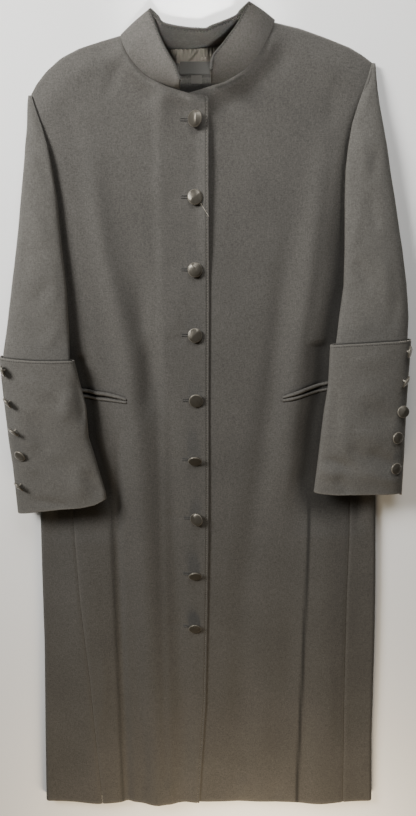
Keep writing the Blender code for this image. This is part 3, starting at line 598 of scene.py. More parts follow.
def satin(name, deep, pale, spacing, roughness, sheen, gloss):
    """Filament satin, woven with long floats and calendered smooth.

    The floats lie side by side, so it is dark from the side and shows a bright streak across
    the floats where it turns to the light, with fine lines along them. Over the rim of a button
    it is painted paler: partly the floats opening where it is drawn taut, partly a painted highlight.
    """
    made, tree, coords = new_finish(name)
    # Real floats lie 0.1 mm apart, too fine for the picture, so they are drawn about 1 mm apart.
    fine, long = grain_scale(spacing), grain_scale(9.0 * spacing)
    laid = add_node(tree, "ShaderNodeMapping", {
        "Vector": (coords, "Object"), "Scale": (fine, long, fine),
        "Rotation": (0.0, 0.0, math.radians(12.0)),
    })
    floats = add_node(tree, "ShaderNodeTexNoise", {
        "Vector": (laid, "Vector"), "Scale": 1.0, "Detail": 2.0, "Roughness": 0.5,
    })
    tone = add_node(tree, "ShaderNodeMix", {
        "Factor": (floats, "Fac"), "A": linear(deep), "B": linear(pale),
    }, data_type="RGBA")
    # Paler paint on the button's rim: partly taut satin, partly a painted highlight.
    stretched = add_node(tree, "ShaderNodeAttribute", attribute_name="stretched")
    rim_highlight_share = add_node(tree, "ShaderNodeMath", {0: (stretched, "Fac"), 1: 0.34}, operation="MULTIPLY")
    shown = add_node(tree, "ShaderNodeMix", {
        "Factor": (rim_highlight_share, "Value"), "A": (tone, "Result"), "B": linear("#a29c90"),
    }, data_type="RGBA")
    rough = add_node(tree, "ShaderNodeMapRange", {
        "Value": (floats, "Fac"), "From Min": 0.3, "From Max": 0.7,
        "To Min": roughness - 0.05, "To Max": roughness + 0.07,
    })
    relief = add_node(tree, "ShaderNodeBump", {
        "Height": (floats, "Fac"), "Strength": 0.3, "Distance": 0.0003,
    })
    along_floats = add_node(tree, "ShaderNodeTangent", direction_type="RADIAL", axis="X")
    shader = add_node(tree, "ShaderNodeBsdfPrincipled", {
        "Base Color": (shown, "Result"), "Roughness": (rough, "Result"), "Normal": (relief, "Normal"),
        "Tangent": (along_floats, "Tangent"), "Anisotropic": 0.55, "IOR": 1.53, "Specular IOR Level": gloss,
        "Specular Tint": linear("#e8e0d0"), "Sheen Weight": sheen, "Sheen Roughness": 0.3,
        "Sheen Tint": linear("#cfc8bb"),
    })
    add_node(tree, "ShaderNodeOutputMaterial", {"Surface": (shader, "BSDF")})
    return made


def woven_tape(name, deep, pale, roughness):
    """Narrow polyester ribbon, woven tight on a needle loom with fine ribs across it."""
    made, tree, coords = new_finish(name)
    # Real ribs are 0.3 mm apart, drawn 1 mm apart so that they show.
    ribs = add_node(tree, "ShaderNodeTexWave", {
        "Vector": (coords, "Object"), "Scale": band_scale(1.0), "Distortion": 0.6,
        "Detail": 1.0, "Detail Scale": 1.5,
    }, wave_type="BANDS", bands_direction="X")
    tone = add_node(tree, "ShaderNodeMix", {
        "Factor": (ribs, "Fac"), "A": linear(deep), "B": linear(pale),
    }, data_type="RGBA")
    rough = add_node(tree, "ShaderNodeMapRange", {
        "Value": (ribs, "Fac"), "From Min": 0.0, "From Max": 1.0,
        "To Min": roughness + 0.08, "To Max": roughness - 0.04,
    })
    relief = add_node(tree, "ShaderNodeBump", {"Height": (ribs, "Fac"), "Strength": 0.3, "Distance": 0.0002})
    shader = add_node(tree, "ShaderNodeBsdfPrincipled", {
        "Base Color": (tone, "Result"), "Roughness": (rough, "Result"), "Normal": (relief, "Normal"),
        "IOR": 1.5, "Specular IOR Level": 0.5, "Sheen Weight": 0.1,
    })
    add_node(tree, "ShaderNodeOutputMaterial", {"Surface": (shader, "BSDF")})
    return made


def sewing_thread(name, deep, pale):
    """Spun polyester sewing thread, two strands twisted, with a slight lustre."""
    made, tree, coords = new_finish(name)
    # A real twist repeats every 0.8 mm.
    twist = add_node(tree, "ShaderNodeTexWave", {
        "Vector": (coords, "Object"), "Scale": band_scale(0.8), "Distortion": 1.0, "Detail": 1.0,
    }, wave_type="BANDS", bands_direction="DIAGONAL")
    tone = add_node(tree, "ShaderNodeMix", {
        "Factor": (twist, "Fac"), "A": linear(deep), "B": linear(pale),
    }, data_type="RGBA")
    relief = add_node(tree, "ShaderNodeBump", {"Height": (twist, "Fac"), "Strength": 0.4, "Distance": 0.0002})
    shader = add_node(tree, "ShaderNodeBsdfPrincipled", {
        "Base Color": (tone, "Result"), "Roughness": 0.55, "Normal": (relief, "Normal"),
        "IOR": 1.5, "Specular IOR Level": 0.5,
    })
    add_node(tree, "ShaderNodeOutputMaterial", {"Surface": (shader, "BSDF")})
    return made


body_crepe = crepe("charcoal_crepe_body", "#403e3b", "#565450")
# A lighter copy of the body crepe for the sleeves and cuffs: painted light, for the light that falls on them.
sleeve_crepe_painted_lighter = crepe("charcoal_crepe_sleeves_painted_lighter", "#494743", "#605e5a")
# A touch lighter copy of the body crepe for the collar: painted light, for the light on the standing band.
collar_crepe_painted_lighter = crepe("charcoal_crepe_collar_painted_lighter", "#42403d", "#585652")
neck_satin = satin("lining_satin_grey_brown", "#4c4842", "#746f66", 1.2, 0.4, 0.25, 0.9)
button_satin = satin("button_satin_charcoal", "#292723", "#403d37", 0.9, 0.36, 0.1, 0.95)
label_tape = woven_tape("label_ribbon_charcoal", "#3a3936", "#4c4b47", 0.6)
tab_tape = woven_tape("size_tab_ribbon_grey", "#403e39", "#52504a", 0.6)
dark_thread = sewing_thread("thread_charcoal", "#141311", "#282622")
placket_thread = sewing_thread("thread_placket_grey", "#54514b", "#77736a")
light_thread = sewing_thread("thread_grey", "#8a857b", "#aaa498")


# The lie of the cloth


def ease(value):
    """A smooth step from 0 to 1."""
    held = np.clip(value, 0.0, 1.0)
    return held * held * (3.0 - 2.0 * held)


def hump(distance, width):
    """A soft hump: 1 in the middle, fading out over a width."""
    return np.exp(-((distance / width) ** 2))


def away(x, y, line):
    """Distance in plan from each point to a line of corners."""
    nearest = np.full(np.shape(x), 1e9)
    for x0, y0, x1, y1 in zip(line["x"][:-1], line["y"][:-1], line["x"][1:], line["y"][1:]):
        along_x = x1 - x0
        along_y = y1 - y0
        share = ((x - x0) * along_x + (y - y0) * along_y) / (along_x ** 2 + along_y ** 2)
        share = np.clip(share, 0.0, 1.0)
        nearest = np.minimum(nearest, np.hypot(x - x0 - share * along_x, y - y0 - share * along_y))
    return nearest


def creases(x, y, rows):
    """Rise of a set of soft creases, each widest and deepest at its middle."""
    rise = np.zeros(np.shape(x))
    for x0, y0, x1, y1, width, height in zip(*rows.values()):
        length = math.hypot(x1 - x0, y1 - y0)
        along_x = (x1 - x0) / length
        along_y = (y1 - y0) / length
        share = ((x - x0) * along_x + (y - y0) * along_y) / length
        across = (x - x0) * along_y - (y - y0) * along_x
        bend = CREASE_BEND * length * (share - 0.5) ** 2
        rise = rise + height * hump(across - bend, width) * np.exp(-((share - 0.5) / CREASE_REACH) ** 4)
    return rise


def to_shoulders(x, y):
    """Distance in plan to the nearer shoulder seam."""
    return np.minimum(away(x, y, SHOULDER["right"]), away(x, y, SHOULDER["left"]))


def front_height(x, y):
    """Height of the outer face of the front cloth, before the right front laps over the left."""
    x = np.asarray(x, float)
    y = np.asarray(y, float)
    height = FRONT_HEIGHT - (FRONT_HEIGHT - EDGE_HEIGHT) * ease((np.abs(x) - EDGE_FALL_START) / EDGE_FALL)
    for fold in FOLDS:
        height = height + at(fold, "rise", y) * hump(x - at(fold, "x", y), at(fold, "spread", y))
    to_neck = np.minimum(away(x, y, NECKLINE["right"]), away(x, y, NECKLINE["left"]))
    height = height + NECK_RISE * hump(to_neck, NECK_SPREAD)
    rise = np.sin(np.clip(to_shoulders(x, y) / SHOULDER_FALL, 0.0, 1.0) * math.pi / 2.0)
    return SHOULDER_HEIGHT + (height - SHOULDER_HEIGHT) * rise


def lap_height(x, y):
    """Height of the right front, which climbs over the edge of the left front."""
    return front_height(x, y) + LAP_LIFT * ease((np.asarray(x, float) - LAP_START_X) / LAP_CLIMB)


def sleeve_inner(side, y):
    """Inner edge of the sleeve or cuff at height y, seen from above."""
    arm = at(ARM[side], "inner", y)
    cuff = at(CUFF[side], "inner", y)
    return np.where(y < CUFF_ENDS[side]["top"][0], cuff, arm)


def hollow(side, x, y):
    """How far the front sinks beside and under the sleeve."""
    way = SIDE[side]
    rows = HOLLOW[side]
    inside = way * (sleeve_inner(side, y) - x)
    start = at(rows, "start", y)
    fall = ease((start - inside) / (start - at(rows, "full", y)))
    off_edge = ease((way * (at(EDGE[side], "x", y) - x) - HOLLOW_RIM) / HOLLOW_RIM_FADE)
    return at(rows, "depth", y) * fall * off_edge


def shade(sink):
    """How much painted shade cloth gets where it sinks so many mm."""
    return ease((sink - SHADE_FROM) / SHADE_OVER)


def painted_sleeve_shadow(side, x, y):
    """How much a point of the front lies in the painted shadow line right beside the sleeve."""
    from_sleeve = SIDE[side] * (sleeve_inner(side, y) - x) - PAINTED_SLEEVE_SHADOW_OFF
    below_tip = ease((ARM[side]["y"][-1] - PAINTED_SLEEVE_SHADOW_START - y) / PAINTED_SLEEVE_SHADOW_FADE)
    return hump(from_sleeve, PAINTED_SLEEVE_SHADOW_WIDTH) * below_tip * PAINTED_SLEEVE_SHADOW[side]


def pocket_relief(side, x, y):
    """How far the front cloth sinks at the pocket mouth and the seams of its lips, and how much painted shade
    it gets there.
    """
    rows = POCKETS[side]
    opening = np.interp(x, rows["x"], rows["open"])
    tilt = math.hypot(1.0, np.gradient(rows["y"], rows["x"]).mean())
    above = (y - np.interp(x, rows["x"], rows["y"])) / tilt
    front_end = rows["x"][-1] if side == "right" else rows["x"][0]
    inside = ease((SIDE[side] * (x - front_end) + POCKET_END) / POCKET_END_FADE)
    mouth = np.exp(-((above / (opening + POCKET_RIM)) ** 4)) * inside
    upper = above - opening - np.interp(x, rows["x"], rows["upper"])
    lower = above + opening + np.interp(x, rows["x"], rows["lower"])
    seams = (hump(upper, POCKET_SEAM) + hump(lower, POCKET_SEAM)) * inside
    wide = np.clip(opening / POCKET_WIDEST, POCKET_SHALLOWEST, 1.0)
    return POCKET_DEPTH * mouth * wide + SEAM_PRESS * seams, np.maximum(mouth, POCKET_SEAM_SHADE * seams)


def seam_press(side, x, y):
    """How much a point lies in the pressed groove of the seams round a front panel."""
    to_side = np.abs(x - at(BOUNDARY[side], "x", y))
    nearest = np.minimum(to_side, away(x, y, SHOULDER[side]))
    return hump(np.minimum(nearest, away(x, y, NECKLINE[side])), SEAM_PRESS_WIDTH)


def front_face(side, x, y):
    """Height of the finished front cloth with its creases, its share of paler paint at the seams, partly
    press wear and partly a painted highlight, and its share of painted shade.
    """
    height = (lap_height if side == "right" else front_height)(x, y)
    to_shoulder = to_shoulders(x, y)
    height = height + creases(x, y, FRONT_CREASES) * ease(to_shoulder / CREASE_FADE)
    to_neck = away(x, y, NECKLINE[side])
    for rise, reach, width in NECK_ROLLS:
        height = height + rise * hump(to_neck - reach, width) * ease(to_shoulder / NECK_ROLL_FADE)
    sink = hollow(side, x, y)
    mouth_depth, mouth = pocket_relief(side, x, y)
    groove = seam_press(side, x, y)
    height = np.maximum(height - sink - mouth_depth, np.minimum(height, LOWEST_FRONT)) - SEAM_PRESS * groove
    if side == "right":
        from_edge = at(PLACKET, "x", y) - x
        curl = at(PLACKET, "lift", y) * ease(1.0 - from_edge / PLACKET_CURL)
        stitched = hump(from_edge - PLACKET_STITCH_INSET, PLACKET_STITCH_WIDTH)
        rounded = hump(from_edge, PLACKET_ROUND_WIDTH)
        height = height + curl - PLACKET_STITCH_PRESS * stitched - PLACKET_ROUND * rounded
    # Painted shade where the front sinks beside the sleeve and in the pocket mouth, and a painted shadow line
    # right beside the sleeve; the seams are painted paler, partly press wear and partly a painted highlight.
    sunk = np.maximum(np.maximum(shade(sink), mouth), painted_sleeve_shadow(side, x, y))
    return height, SEAM_WEAR_AND_HIGHLIGHT * groove, sunk


# Making cloth


def new_piece(name, points, faces, *looks):
    """A smooth piece of mesh from points in mm."""
    mesh = bpy.data.meshes.new(name)
    mesh.from_pydata((np.asarray(points, float) * MM).tolist(), [], faces)
    mesh.update()
    mesh.shade_smooth()
    for look in looks:
        mesh.materials.append(look)
    piece = bpy.data.objects.new(name, mesh)
    bpy.context.scene.collection.objects.link(piece)
    return piece


def keep_shares(piece, label, shares):
    """Store a share at each point of a piece, for its finish to read."""
    kept = piece.data.attributes.new(label, "FLOAT", "POINT")
    kept.data.foreach_set("value", shares.astype(np.float32))


def shell(name, grid, wall, look, hint, ring=False, joined=0, pressed=None, sunk=None):
    """Cloth of one thickness under a grid of outer points in mm.

    hint points away from the inside at each point. ring closes every row on itself, and
    joined closes only the first rows, as a sleeve is closed below the armhole.
    """
    rows, columns = grid.shape[:2]
    index = np.arange(rows * columns).reshape(rows, columns)
    if joined:
        index[:joined, -1] = index[:joined, 0]
    beside = np.roll(index, -1, axis=1)
    last = columns if ring else columns - 1
    quads = np.stack([index[:-1, :last], beside[:-1, :last], beside[1:, :last], index[1:, :last]], -1)
    points = grid.reshape(-1, 3)
    across = points[quads[..., 1]] - points[quads[..., 0]]
    upward = points[quads[..., 3]] - points[quads[..., 0]]
    facing = (np.cross(across, upward) * hint[:-1, :last]).sum()
    quads = quads.reshape(-1, 4)
    if facing < 0.0:
        quads = quads[:, ::-1]
    used, renumbered = np.unique(quads, return_inverse=True)
    piece = new_piece(name, points[used], renumbered.reshape(-1, 4).tolist(), look)
    for label, values in (("pressed", pressed), ("sunk", sunk)):
        shares = np.zeros(rows * columns) if values is None else np.asarray(values, float).reshape(-1)
        keep_shares(piece, label, shares[used])
    thick = piece.modifiers.new("Thickness", "SOLIDIFY")
    thick.thickness = wall * MM
    thick.offset = -1.0
    thick.use_even_offset = not joined
    thick.use_rim = True
    return piece


def up(grid):
    """A hint that points straight up everywhere."""
    return np.tile(np.array([0.0, 0.0, 1.0]), (*grid.shape[:2], 1))


def outwards(grid):
    """A hint that points away from the middle of each row."""
    return grid - grid.mean(axis=1, keepdims=True)


def stations(count, rim=0.2):
    """Shares from 0 to 1, with one more close to each end so that the edge turns crisply."""
    shares = np.linspace(0.0, 1.0, count + 1)
    return np.unique(np.concatenate([shares, [rim / count, 1.0 - rim / count]]))


def along(line, shares):
    """Points at shares of the length of a line of corners."""
    steps = np.hypot(np.diff(line["x"]), np.diff(line["y"]))
    length = np.concatenate([[0.0], np.cumsum(steps)])
    reach = shares * length[-1]
    return np.stack([np.interp(reach, length, line["x"]), np.interp(reach, length, line["y"])], 1)


def body_rows(top_y, steps):
    """Heights of the straight rows of the body, with one more close to the hem."""
    return np.unique(np.concatenate([[HEM_Y + HEM_ROW], np.linspace(HEM_Y, top_y, steps)]))


def upper_rows(steps):
    """Shares of the way from the chest to the shoulder, with one more close to the seam."""
    return np.concatenate([np.linspace(0.0, 1.0, steps)[1:-1], [0.985, 1.0]])


def bent_row(bottom, top, near, far, shares, up_share):
    """A row of cloth between the bottom and the top line, bent to meet its two side lines."""
    across = shares[:, None]
    row = (1 - up_share) * bottom + up_share * top + (1 - across) * near + across * far
    row = row - (1 - across) * ((1 - up_share) * bottom[0] + up_share * top[0])
    return row - across * ((1 - up_share) * bottom[-1] + up_share * top[-1])


def level_rows(near, far, heights, shares):
    """Straight rows across the cloth between two sides."""
    near = near[:, None]
    far = far[:, None]
    return np.stack([near + (far - near) * shares, np.repeat(heights[:, None], len(shares), 1)], -1)


def front_plan(side):
    """Plan of a front panel: straight rows up to the chest, then rows that bend to the shoulder."""
    edge = PLACKET if side == "right" else table("y x", [(-700, UNDERLAP_X), (700, UNDERLAP_X)])
    seam = BOUNDARY[side]
    shoulder_shares = np.unique(np.concatenate([[0.008], np.linspace(0.0, 1.0, 31)]))
    # More columns near the placket, where its stitching and its rolled edge lie.
    placket_end = 1.0 - np.array([0.8, 1.7, 2.6, 3.4, 4.2, 5.2, 6.8, 9.0, 12.0]) / 126.0
    neck_shares = np.unique(np.concatenate([placket_end, np.linspace(0.0, 1.0, 35)]))
    shoulder = along(SHOULDER[side], shoulder_shares)
    top = np.concatenate([shoulder, along(NECKLINE[side], neck_shares)[1:]])
    near = at(seam, "x", CHEST_Y)
    corner = (shoulder[-1][0] - near) / (at(edge, "x", CHEST_Y) - near)
    shares = np.concatenate([corner * shoulder_shares, corner + (1.0 - corner) * neck_shares[1:]])
    low, high = POCKET_ROWS[side]
    heights = np.unique(np.concatenate([
        body_rows(low, 132), np.linspace(low, high, int(high - low)), np.linspace(high, CHEST_Y, 52),
    ]))
    lower = level_rows(at(seam, "x", heights), at(edge, "x", heights), heights, shares)
    rows = list(lower)
    for up_share in upper_rows(30):
        y_near, y_far = (CHEST_Y + (end[1] - CHEST_Y) * up_share for end in (top[0], top[-1]))
        near = np.array([at(seam, "x", y_near), y_near])
        far = np.array([at(edge, "x", y_far), y_far])
        rows.append(bent_row(lower[-1], top, near, far, shares, up_share))
    return np.array(rows)


def front(side):
    """A front panel from its plan and the height of the finished cloth."""
    plan = front_plan(side)
    height, pressed, sunk = front_face(side, plan[..., 0], plan[..., 1])
    # The hem is painted paler: partly press wear, partly a painted highlight on its turned edge.
    pressed = np.maximum(pressed, hump(plan[..., 1] - HEM_Y, HEM_PRESS_WIDTH))
    grid = np.concatenate([plan, height[..., None]], 2)
    return shell(side + "_front_crepe", grid, BODY_WALL, body_crepe, up(grid), pressed=pressed, sunk=sunk)


def side_panel(side):
    """A side panel: top cloth, folded edge, then the part turned under."""
    way = SIDE[side]
    top_shares = stations(26)[:-1]
    turns = np.radians(np.linspace(90.0, -90.0, 19))
    grid = []
    sunk = []
    for y in body_rows(UNDERARM[side] - 2.0, 170):
        seam = at(BOUNDARY[side], "x", y) + way * SEAM_GAP
        edge = at(EDGE[side], "x", y)
        radius = float(front_height(edge - way * EDGE_HEIGHT / 2.0, y)) / 2.0
        centre = edge - way * radius
        x = seam + (centre - seam) * top_shares
        ys = np.full(len(x), y)
        sink = hollow(side, x, ys)
        z = np.maximum(front_height(x, ys) - sink, LOWEST_FRONT)
        z = z - SEAM_PRESS * hump(x - seam, SEAM_PRESS_WIDTH)
        z = z + creases(x, ys, FRONT_CREASES) * ease(np.abs(x - centre) / 14.0)
        turned = np.stack([
            centre + way * radius * np.cos(turns), np.full(len(turns), y), radius + radius * np.sin(turns),
        ], 1)
        under = np.array([[edge - way * reach, y, 0.0] for reach in (12.0, 19.0, UNDER_TURN)])
        grid.append(np.concatenate([np.stack([x, ys, z], 1), turned, under]))
        # Painted shade where the side panel sinks into the hollow beside the sleeve.
        sunk.append(np.concatenate([shade(sink), np.zeros(len(turns) + len(under))]))
    grid = np.array(grid)
    # The hem and the seam edge are painted paler: partly press wear, partly a painted highlight.
    pressed = hump(grid[..., 1] - HEM_Y, HEM_PRESS_WIDTH)
    pressed[:, :1] = SIDE_SEAM_WEAR_AND_HIGHLIGHT
    name = side + "_side_crepe"
    return shell(name, grid, BODY_WALL, body_crepe, outwards(grid), pressed=pressed, sunk=np.array(sunk))


def back_edge(side, y):
    """Edge of the back panel: it follows the armhole, then the part that the side panel turns under."""
    under = UNDERARM[side]
    turned = at(EDGE[side], "x", np.minimum(y, under)) - SIDE[side] * (UNDER_TURN + SEAM_GAP)
    share = ease((y - under) / (CHEST_Y - under))
    lower = turned + (at(BOUNDARY[side], "x", CHEST_Y) - turned) * share
    return np.where(np.asarray(y) > CHEST_Y, at(BOUNDARY[side], "x", y), lower)


BACK_CREASES = table("x0 y0 x1 y1 width rise", [
    (-120, -640, -112, -300, 16, 1.6), (-40, -640, -36, -420, 14, 1.3), (60, -640, 66, -360, 18, 1.6),
    (150, -640, 146, -250, 16, 1.4), (-190, -500, -176, -160, 13, 1.2), (10, -300, 16, 60, 20, 1.2),
    (-90, 60, -70, 300, 16, 1.1), (96, 40, 88, 320, 17, 1.3), (-60, 480, 40, 500, 14, 1.0),
    (-150, 420, -110, 540, 14, 1.2), (150, 440, 118, 560, 13, 1.1), (-10, 380, 6, 590, 12, 0.9),
])


def back():
    """The back panel, lying flat but for a few soft creases."""
    shares = stations(60)
    heights = body_rows(CHEST_Y, 120)
    lower = level_rows(back_edge("right", heights), back_edge("left", heights), heights, shares)
    outline = {
        axis: np.concatenate([
            SHOULDER["right"][axis], BACK_NECKLINE[axis][1:], SHOULDER["left"][axis][::-1][1:],
        ])
        for axis in ("x", "y")
    }
    top = along(outline, shares)
    rows = list(lower)
    for up_share in upper_rows(24):
        ends = []
        for side, corner in (("right", top[0]), ("left", top[-1])):
            y = CHEST_Y + (corner[1] - CHEST_Y) * up_share
            ends.append(np.array([at(BOUNDARY[side], "x", y), y]))
        rows.append(bent_row(lower[-1], top, *ends, shares, up_share))
    plan = np.array(rows)
    x, y = plan[..., 0], plan[..., 1]
    at_rim = np.minimum(np.abs(x - back_edge("right", y)), np.abs(x - back_edge("left", y)))
    tip = min(SHOULDER["right"]["y"][0], SHOULDER["left"]["y"][0])
    z = creases(x, y, BACK_CREASES) * ease(at_rim / 24.0) * ease((tip - y) / 60.0)
    grid = np.concatenate([plan, np.clip(z, 0.0, None)[..., None]], 2)
    return shell("back_crepe", grid, BODY_WALL, body_crepe, -up(grid))


def rest_height(side, x, y, gap):
    """Height of cloth that lies on the body, and that sinks where it hangs past the side edge."""
    way = SIDE[side]
    edge = at(EDGE[side], "x", y)
    beside = REST_BESIDE * np.array([-1.0, 0.0, 1.0])[:, None]
    lengthwise = REST_LENGTHWISE * np.array([-1.0, 0.0, 1.0])[None, :]
    held = np.minimum(way * (x + beside), way * (edge - way * REST_BESIDE)) * way
    on_body = float(front_height(held, y + lengthwise).max())
    past = (way * (x - edge) - HANG_START) / HANG_OVER
    return on_body + gap + (1.0 - on_body) * float(ease(past))


def lap(start_x, start_z, inner, inner_z):
    """The cloth under a flattened tube, from its inner edge to where it starts."""
    turn = math.pi / 2.0 * np.arange(TUBE_LAP - 1, -1, -1) / TUBE_LAP
    x = start_x + (inner - start_x) * np.sin(turn)
    return list(zip(x, start_z + (inner_z - start_z) * (1.0 - np.cos(turn))))


def over(inner, outer, inner_z, outer_z, top):
    """The top half of a flattened tube, from its inner edge to its outer edge."""
    share = np.linspace(0.0, 1.0, TUBE_OVER + 1)
    lift = np.sin(math.pi * share) ** TUBE_ROUNDNESS
    edge_z = inner_z + (outer_z - inner_z) * share
    x = inner + (outer - inner) * (1.0 - np.cos(math.pi * share)) / 2.0
    return x, edge_z + (top - edge_z) * lift, lift


def droop(share):
    """How far the cloth has sunk at a share of the way from the outer edge to the seam underneath."""
    return math.sin(min(1.0, share / 0.5) * math.pi / 2.0)


def cuff_dents(side, x, y, lift):
    """Creases of the upper side of a cuff, fading to its two edges."""
    return creases(x, y, CUFF_CREASES[side]) * np.clip(lift * 1.6, 0.25, 1.0)


def columns_at(rows, y):
    """Every column of a table at one height, except the height itself."""
    return {name: float(at(rows, name, y)) for name in rows if name != "y"}


def arm_values(side, y):
    """Columns of the sleeve at one height: its own table, then the inside of the cuff."""
    if y >= ARM[side]["y"][0]:
        return columns_at(ARM[side], y)
    values = columns_at(CUFF[side], y)
    values["inner"] += SIDE[side] * CUFF_INSET
    values["outer"] -= SIDE[side] * CUFF_INSET
    values["top"] -= CUFF_INSET + 1.0
    values["gap"] += CUFF_INSET + 1.1
    return values


def sleeve_section(side, y):
    """One section of a sleeve, from its front seam over the top and under to its back seam."""
    way = SIDE[side]
    inner, outer, inner_z, outer_z, top, gap = arm_values(side, y).values()
    in_armhole = y > UNDERARM[side]
    if in_armhole:
        start_x = float(at(BOUNDARY[side], "x", y))
        start_z = float(front_height(start_x, y) - hollow(side, start_x, y)) + gap
        end_x = float(back_edge(side, y)) + way * SEAM_GAP
    else:
        start_x = float(at(EDGE[side], "x", y)) + way * KNEE_OUT
        start_z = rest_height(side, start_x - way * KNEE_REST, y, gap)
        end_x = start_x
    points = [(x, y, z) for x, z in lap(start_x, start_z, inner, inner_z)[::-1]]
    x, z, lift = over(inner, outer, inner_z, outer_z, top)
    ys = np.full(len(x), y)
    in_cuff = ease((ARM[side]["y"][0] + CUFF_CREASES_ABOVE - y) / CUFF_CREASES_FADE)
    below_tip = ease((ARM[side]["y"][-1] - y) / TIP_FADE)
    z = z + cuff_dents(side, x, ys, lift) * in_cuff
    z = z + creases(x, ys, SLEEVE_CREASES[side]) * lift * (1.0 - in_cuff) * below_tip
    points += list(zip(x, ys, z))
    for share in np.arange(1, TUBE_UNDER + 1) / TUBE_UNDER:
        x = outer + (end_x - outer) * share
        low = 0.0 if in_armhole else rest_height(side, x, y, gap)
        points.append((x, y, outer_z + (low - outer_z) * droop(share)))
    return points


def sleeve(side):
    """A sleeve: closed rings from inside the cuff to the underarm, then rows open at the armhole."""
    under = UNDERARM[side]
    cuff_end = CUFF_ENDS[side]["end"][0] + SLEEVE_INSIDE_CUFF
    mouth = CUFF_ENDS[side]["top"]
    # More rows where the sleeve comes out of the cuff, so that its painted shade ends there crisply.
    at_cuff = np.arange(mouth.min() - 2.0, mouth.max() + 5.0, 0.8)
    closed = np.unique(np.concatenate([
        [cuff_end + 0.8], np.linspace(cuff_end, under - 0.5, 84), at_cuff,
    ]))
    in_armhole = np.linspace(under + 5.0, ARM[side]["y"][-1], 36)
    grid = np.array([sleeve_section(side, y) for y in (*closed, *in_armhole)])
    x, y = grid[..., 0], grid[..., 1]
    inner, outer = (at(CUFF[side], edge, y) for edge in ("inner", "outer"))
    # Painted shade on the sleeve inside the cuff, ending just above the cuff's top edge.
    out_of_cuff = y - cuff_height(side, 1.0, (x - inner) / (outer - inner))
    sunk = 1.0 - ease((out_of_cuff - CUFF_SHADE_ABOVE) / CUFF_SHADE_FADE)
    name = side + "_sleeve_crepe_painted_lighter"
    return shell(name, grid, SLEEVE_WALL, sleeve_crepe_painted_lighter, outwards(grid), joined=len(closed), sunk=sunk)


def cuff_height(side, share, across):
    """Where a ring of the cuff lies along the arm, at a share of the way across it."""
    low, high = (np.interp(across, CUFF_ENDS[side]["across"], CUFF_ENDS[side][end]) for end in ("end", "top"))
    return low + (high - low) * share


def cuff_section(side, share):
    """One ring of a cuff. share runs from the open end to the top edge."""
    way = SIDE[side]
    middle = cuff_height(side, share, 0.5)
    inner, outer, inner_z, outer_z, top, gap = columns_at(CUFF[side], middle).values()

    def along_arm(x):
        return cuff_height(side, share, (x - inner) / (outer - inner))

    knee = float(at(EDGE[side], "x", middle)) + way * KNEE_OUT
    x, z, lift = over(inner, outer, inner_z, outer_z, top)
    y = along_arm(x)
    points = list(zip(x, y, z + cuff_dents(side, x, y, lift)))
    for part in np.arange(1, TUBE_UNDER + 1) / TUBE_UNDER:
        x = outer + (knee - outer) * part
        low = rest_height(side, x, middle, gap)
        points.append((x, along_arm(x), outer_z + (low - outer_z) * droop(part)))
    base = rest_height(side, knee - way * KNEE_REST, middle, gap)
    points += [(x, along_arm(x), z) for x, z in lap(knee, base, inner, inner_z)[::-1][1:]]
    return points


def cuff(side):
    """A turned-back cuff, closed all round, with paler paint along its two ends: partly press wear, partly a
    painted highlight.
    """
    shares = np.unique(np.concatenate([stations(60), [0.985, 0.99, 0.01]]))
    grid = np.array([cuff_section(side, share) for share in shares])
    rim = np.minimum(shares, 1.0 - shares)[:, None] * np.ones(grid.shape[1])
    pressed = hump(rim, RIM_LINE_WIDTH)
    name = side + "_cuff_crepe"
    return shell(name, grid, CUFF_WALL, sleeve_crepe_painted_lighter, outwards(grid), ring=True, pressed=pressed)


def cuff_top(side, x, y):
    """Height of the outer face of the cuff over a point in plan."""
    inner, outer, inner_z, outer_z, top, _ = columns_at(CUFF[side], y).values()
    xs, zs, _ = over(inner, outer, inner_z, outer_z, top)
    order = np.argsort(xs)
    return float(np.interp(x, xs[order], zs[order]))


def smooth_line(values, count):
    """Even steps along a soft curve through the values."""
    last = len(values) - 1
    found = []
    for place in np.linspace(0.0, last, count):
        start = min(int(place), last - 1)
        part = place - start
        before, here, there, after = (
            values[min(max(start + shift, 0), last)] for shift in (-1, 0, 1, 2)
        )
        found.append(0.5 * (
            2.0 * here + (there - before) * part
            + (2.0 * before - 5.0 * here + 4.0 * there - after) * part ** 2
            + (3.0 * here - before - 3.0 * there + after) * part ** 3
        ))
    return np.array(found)


def collar_lines():
    """Base and top line of the collar."""
    on_back = BODY_WALL + LINING_WALL + COLLAR_OFF_BACK
    base_z = []
    for x, y, back_part in zip(COLLAR["base_x"], COLLAR["base_y"], COLLAR["back"]):
        base_z.append(on_back if back_part else float(lap_height(x, y)) + COLLAR_OFF_FRONT)
    base = np.stack([COLLAR["base_x"], COLLAR["base_y"], np.array(base_z)], 1)
    top = np.stack([COLLAR["top_x"], COLLAR["top_y"], COLLAR["top_z"]], 1)
    return smooth_line(base, COLLAR_COLUMNS), smooth_line(top, COLLAR_COLUMNS)


def collar_grid(shares):
    """Outer face of the collar band at shares of its height, softly bowed and rippled."""
    base, top = collar_lines()
    grid = np.array([base + (top - base) * share for share in shares])
    centre = grid.mean(axis=(0, 1))
    outward = grid - centre
    outward[..., 2] = 0.0
    outward /= np.linalg.norm(outward, axis=2, keepdims=True)
    place = np.linspace(0.0, 1.0, base.shape[0])[None, :]
    height = np.asarray(shares)[:, None]
    ripple = 0.9 * np.sin(14.0 * place + 1.0) * np.sin(2.2 * height) + 0.5 * np.sin(31.0 * place) * height
    bow = 1.4 * np.sin(math.pi * np.clip(height, 0.0, 1.0))
    ends = ease(np.minimum(place, 1.0 - place) / 0.03)
    return grid + outward * ((ripple + bow) * ends)[..., None], outward


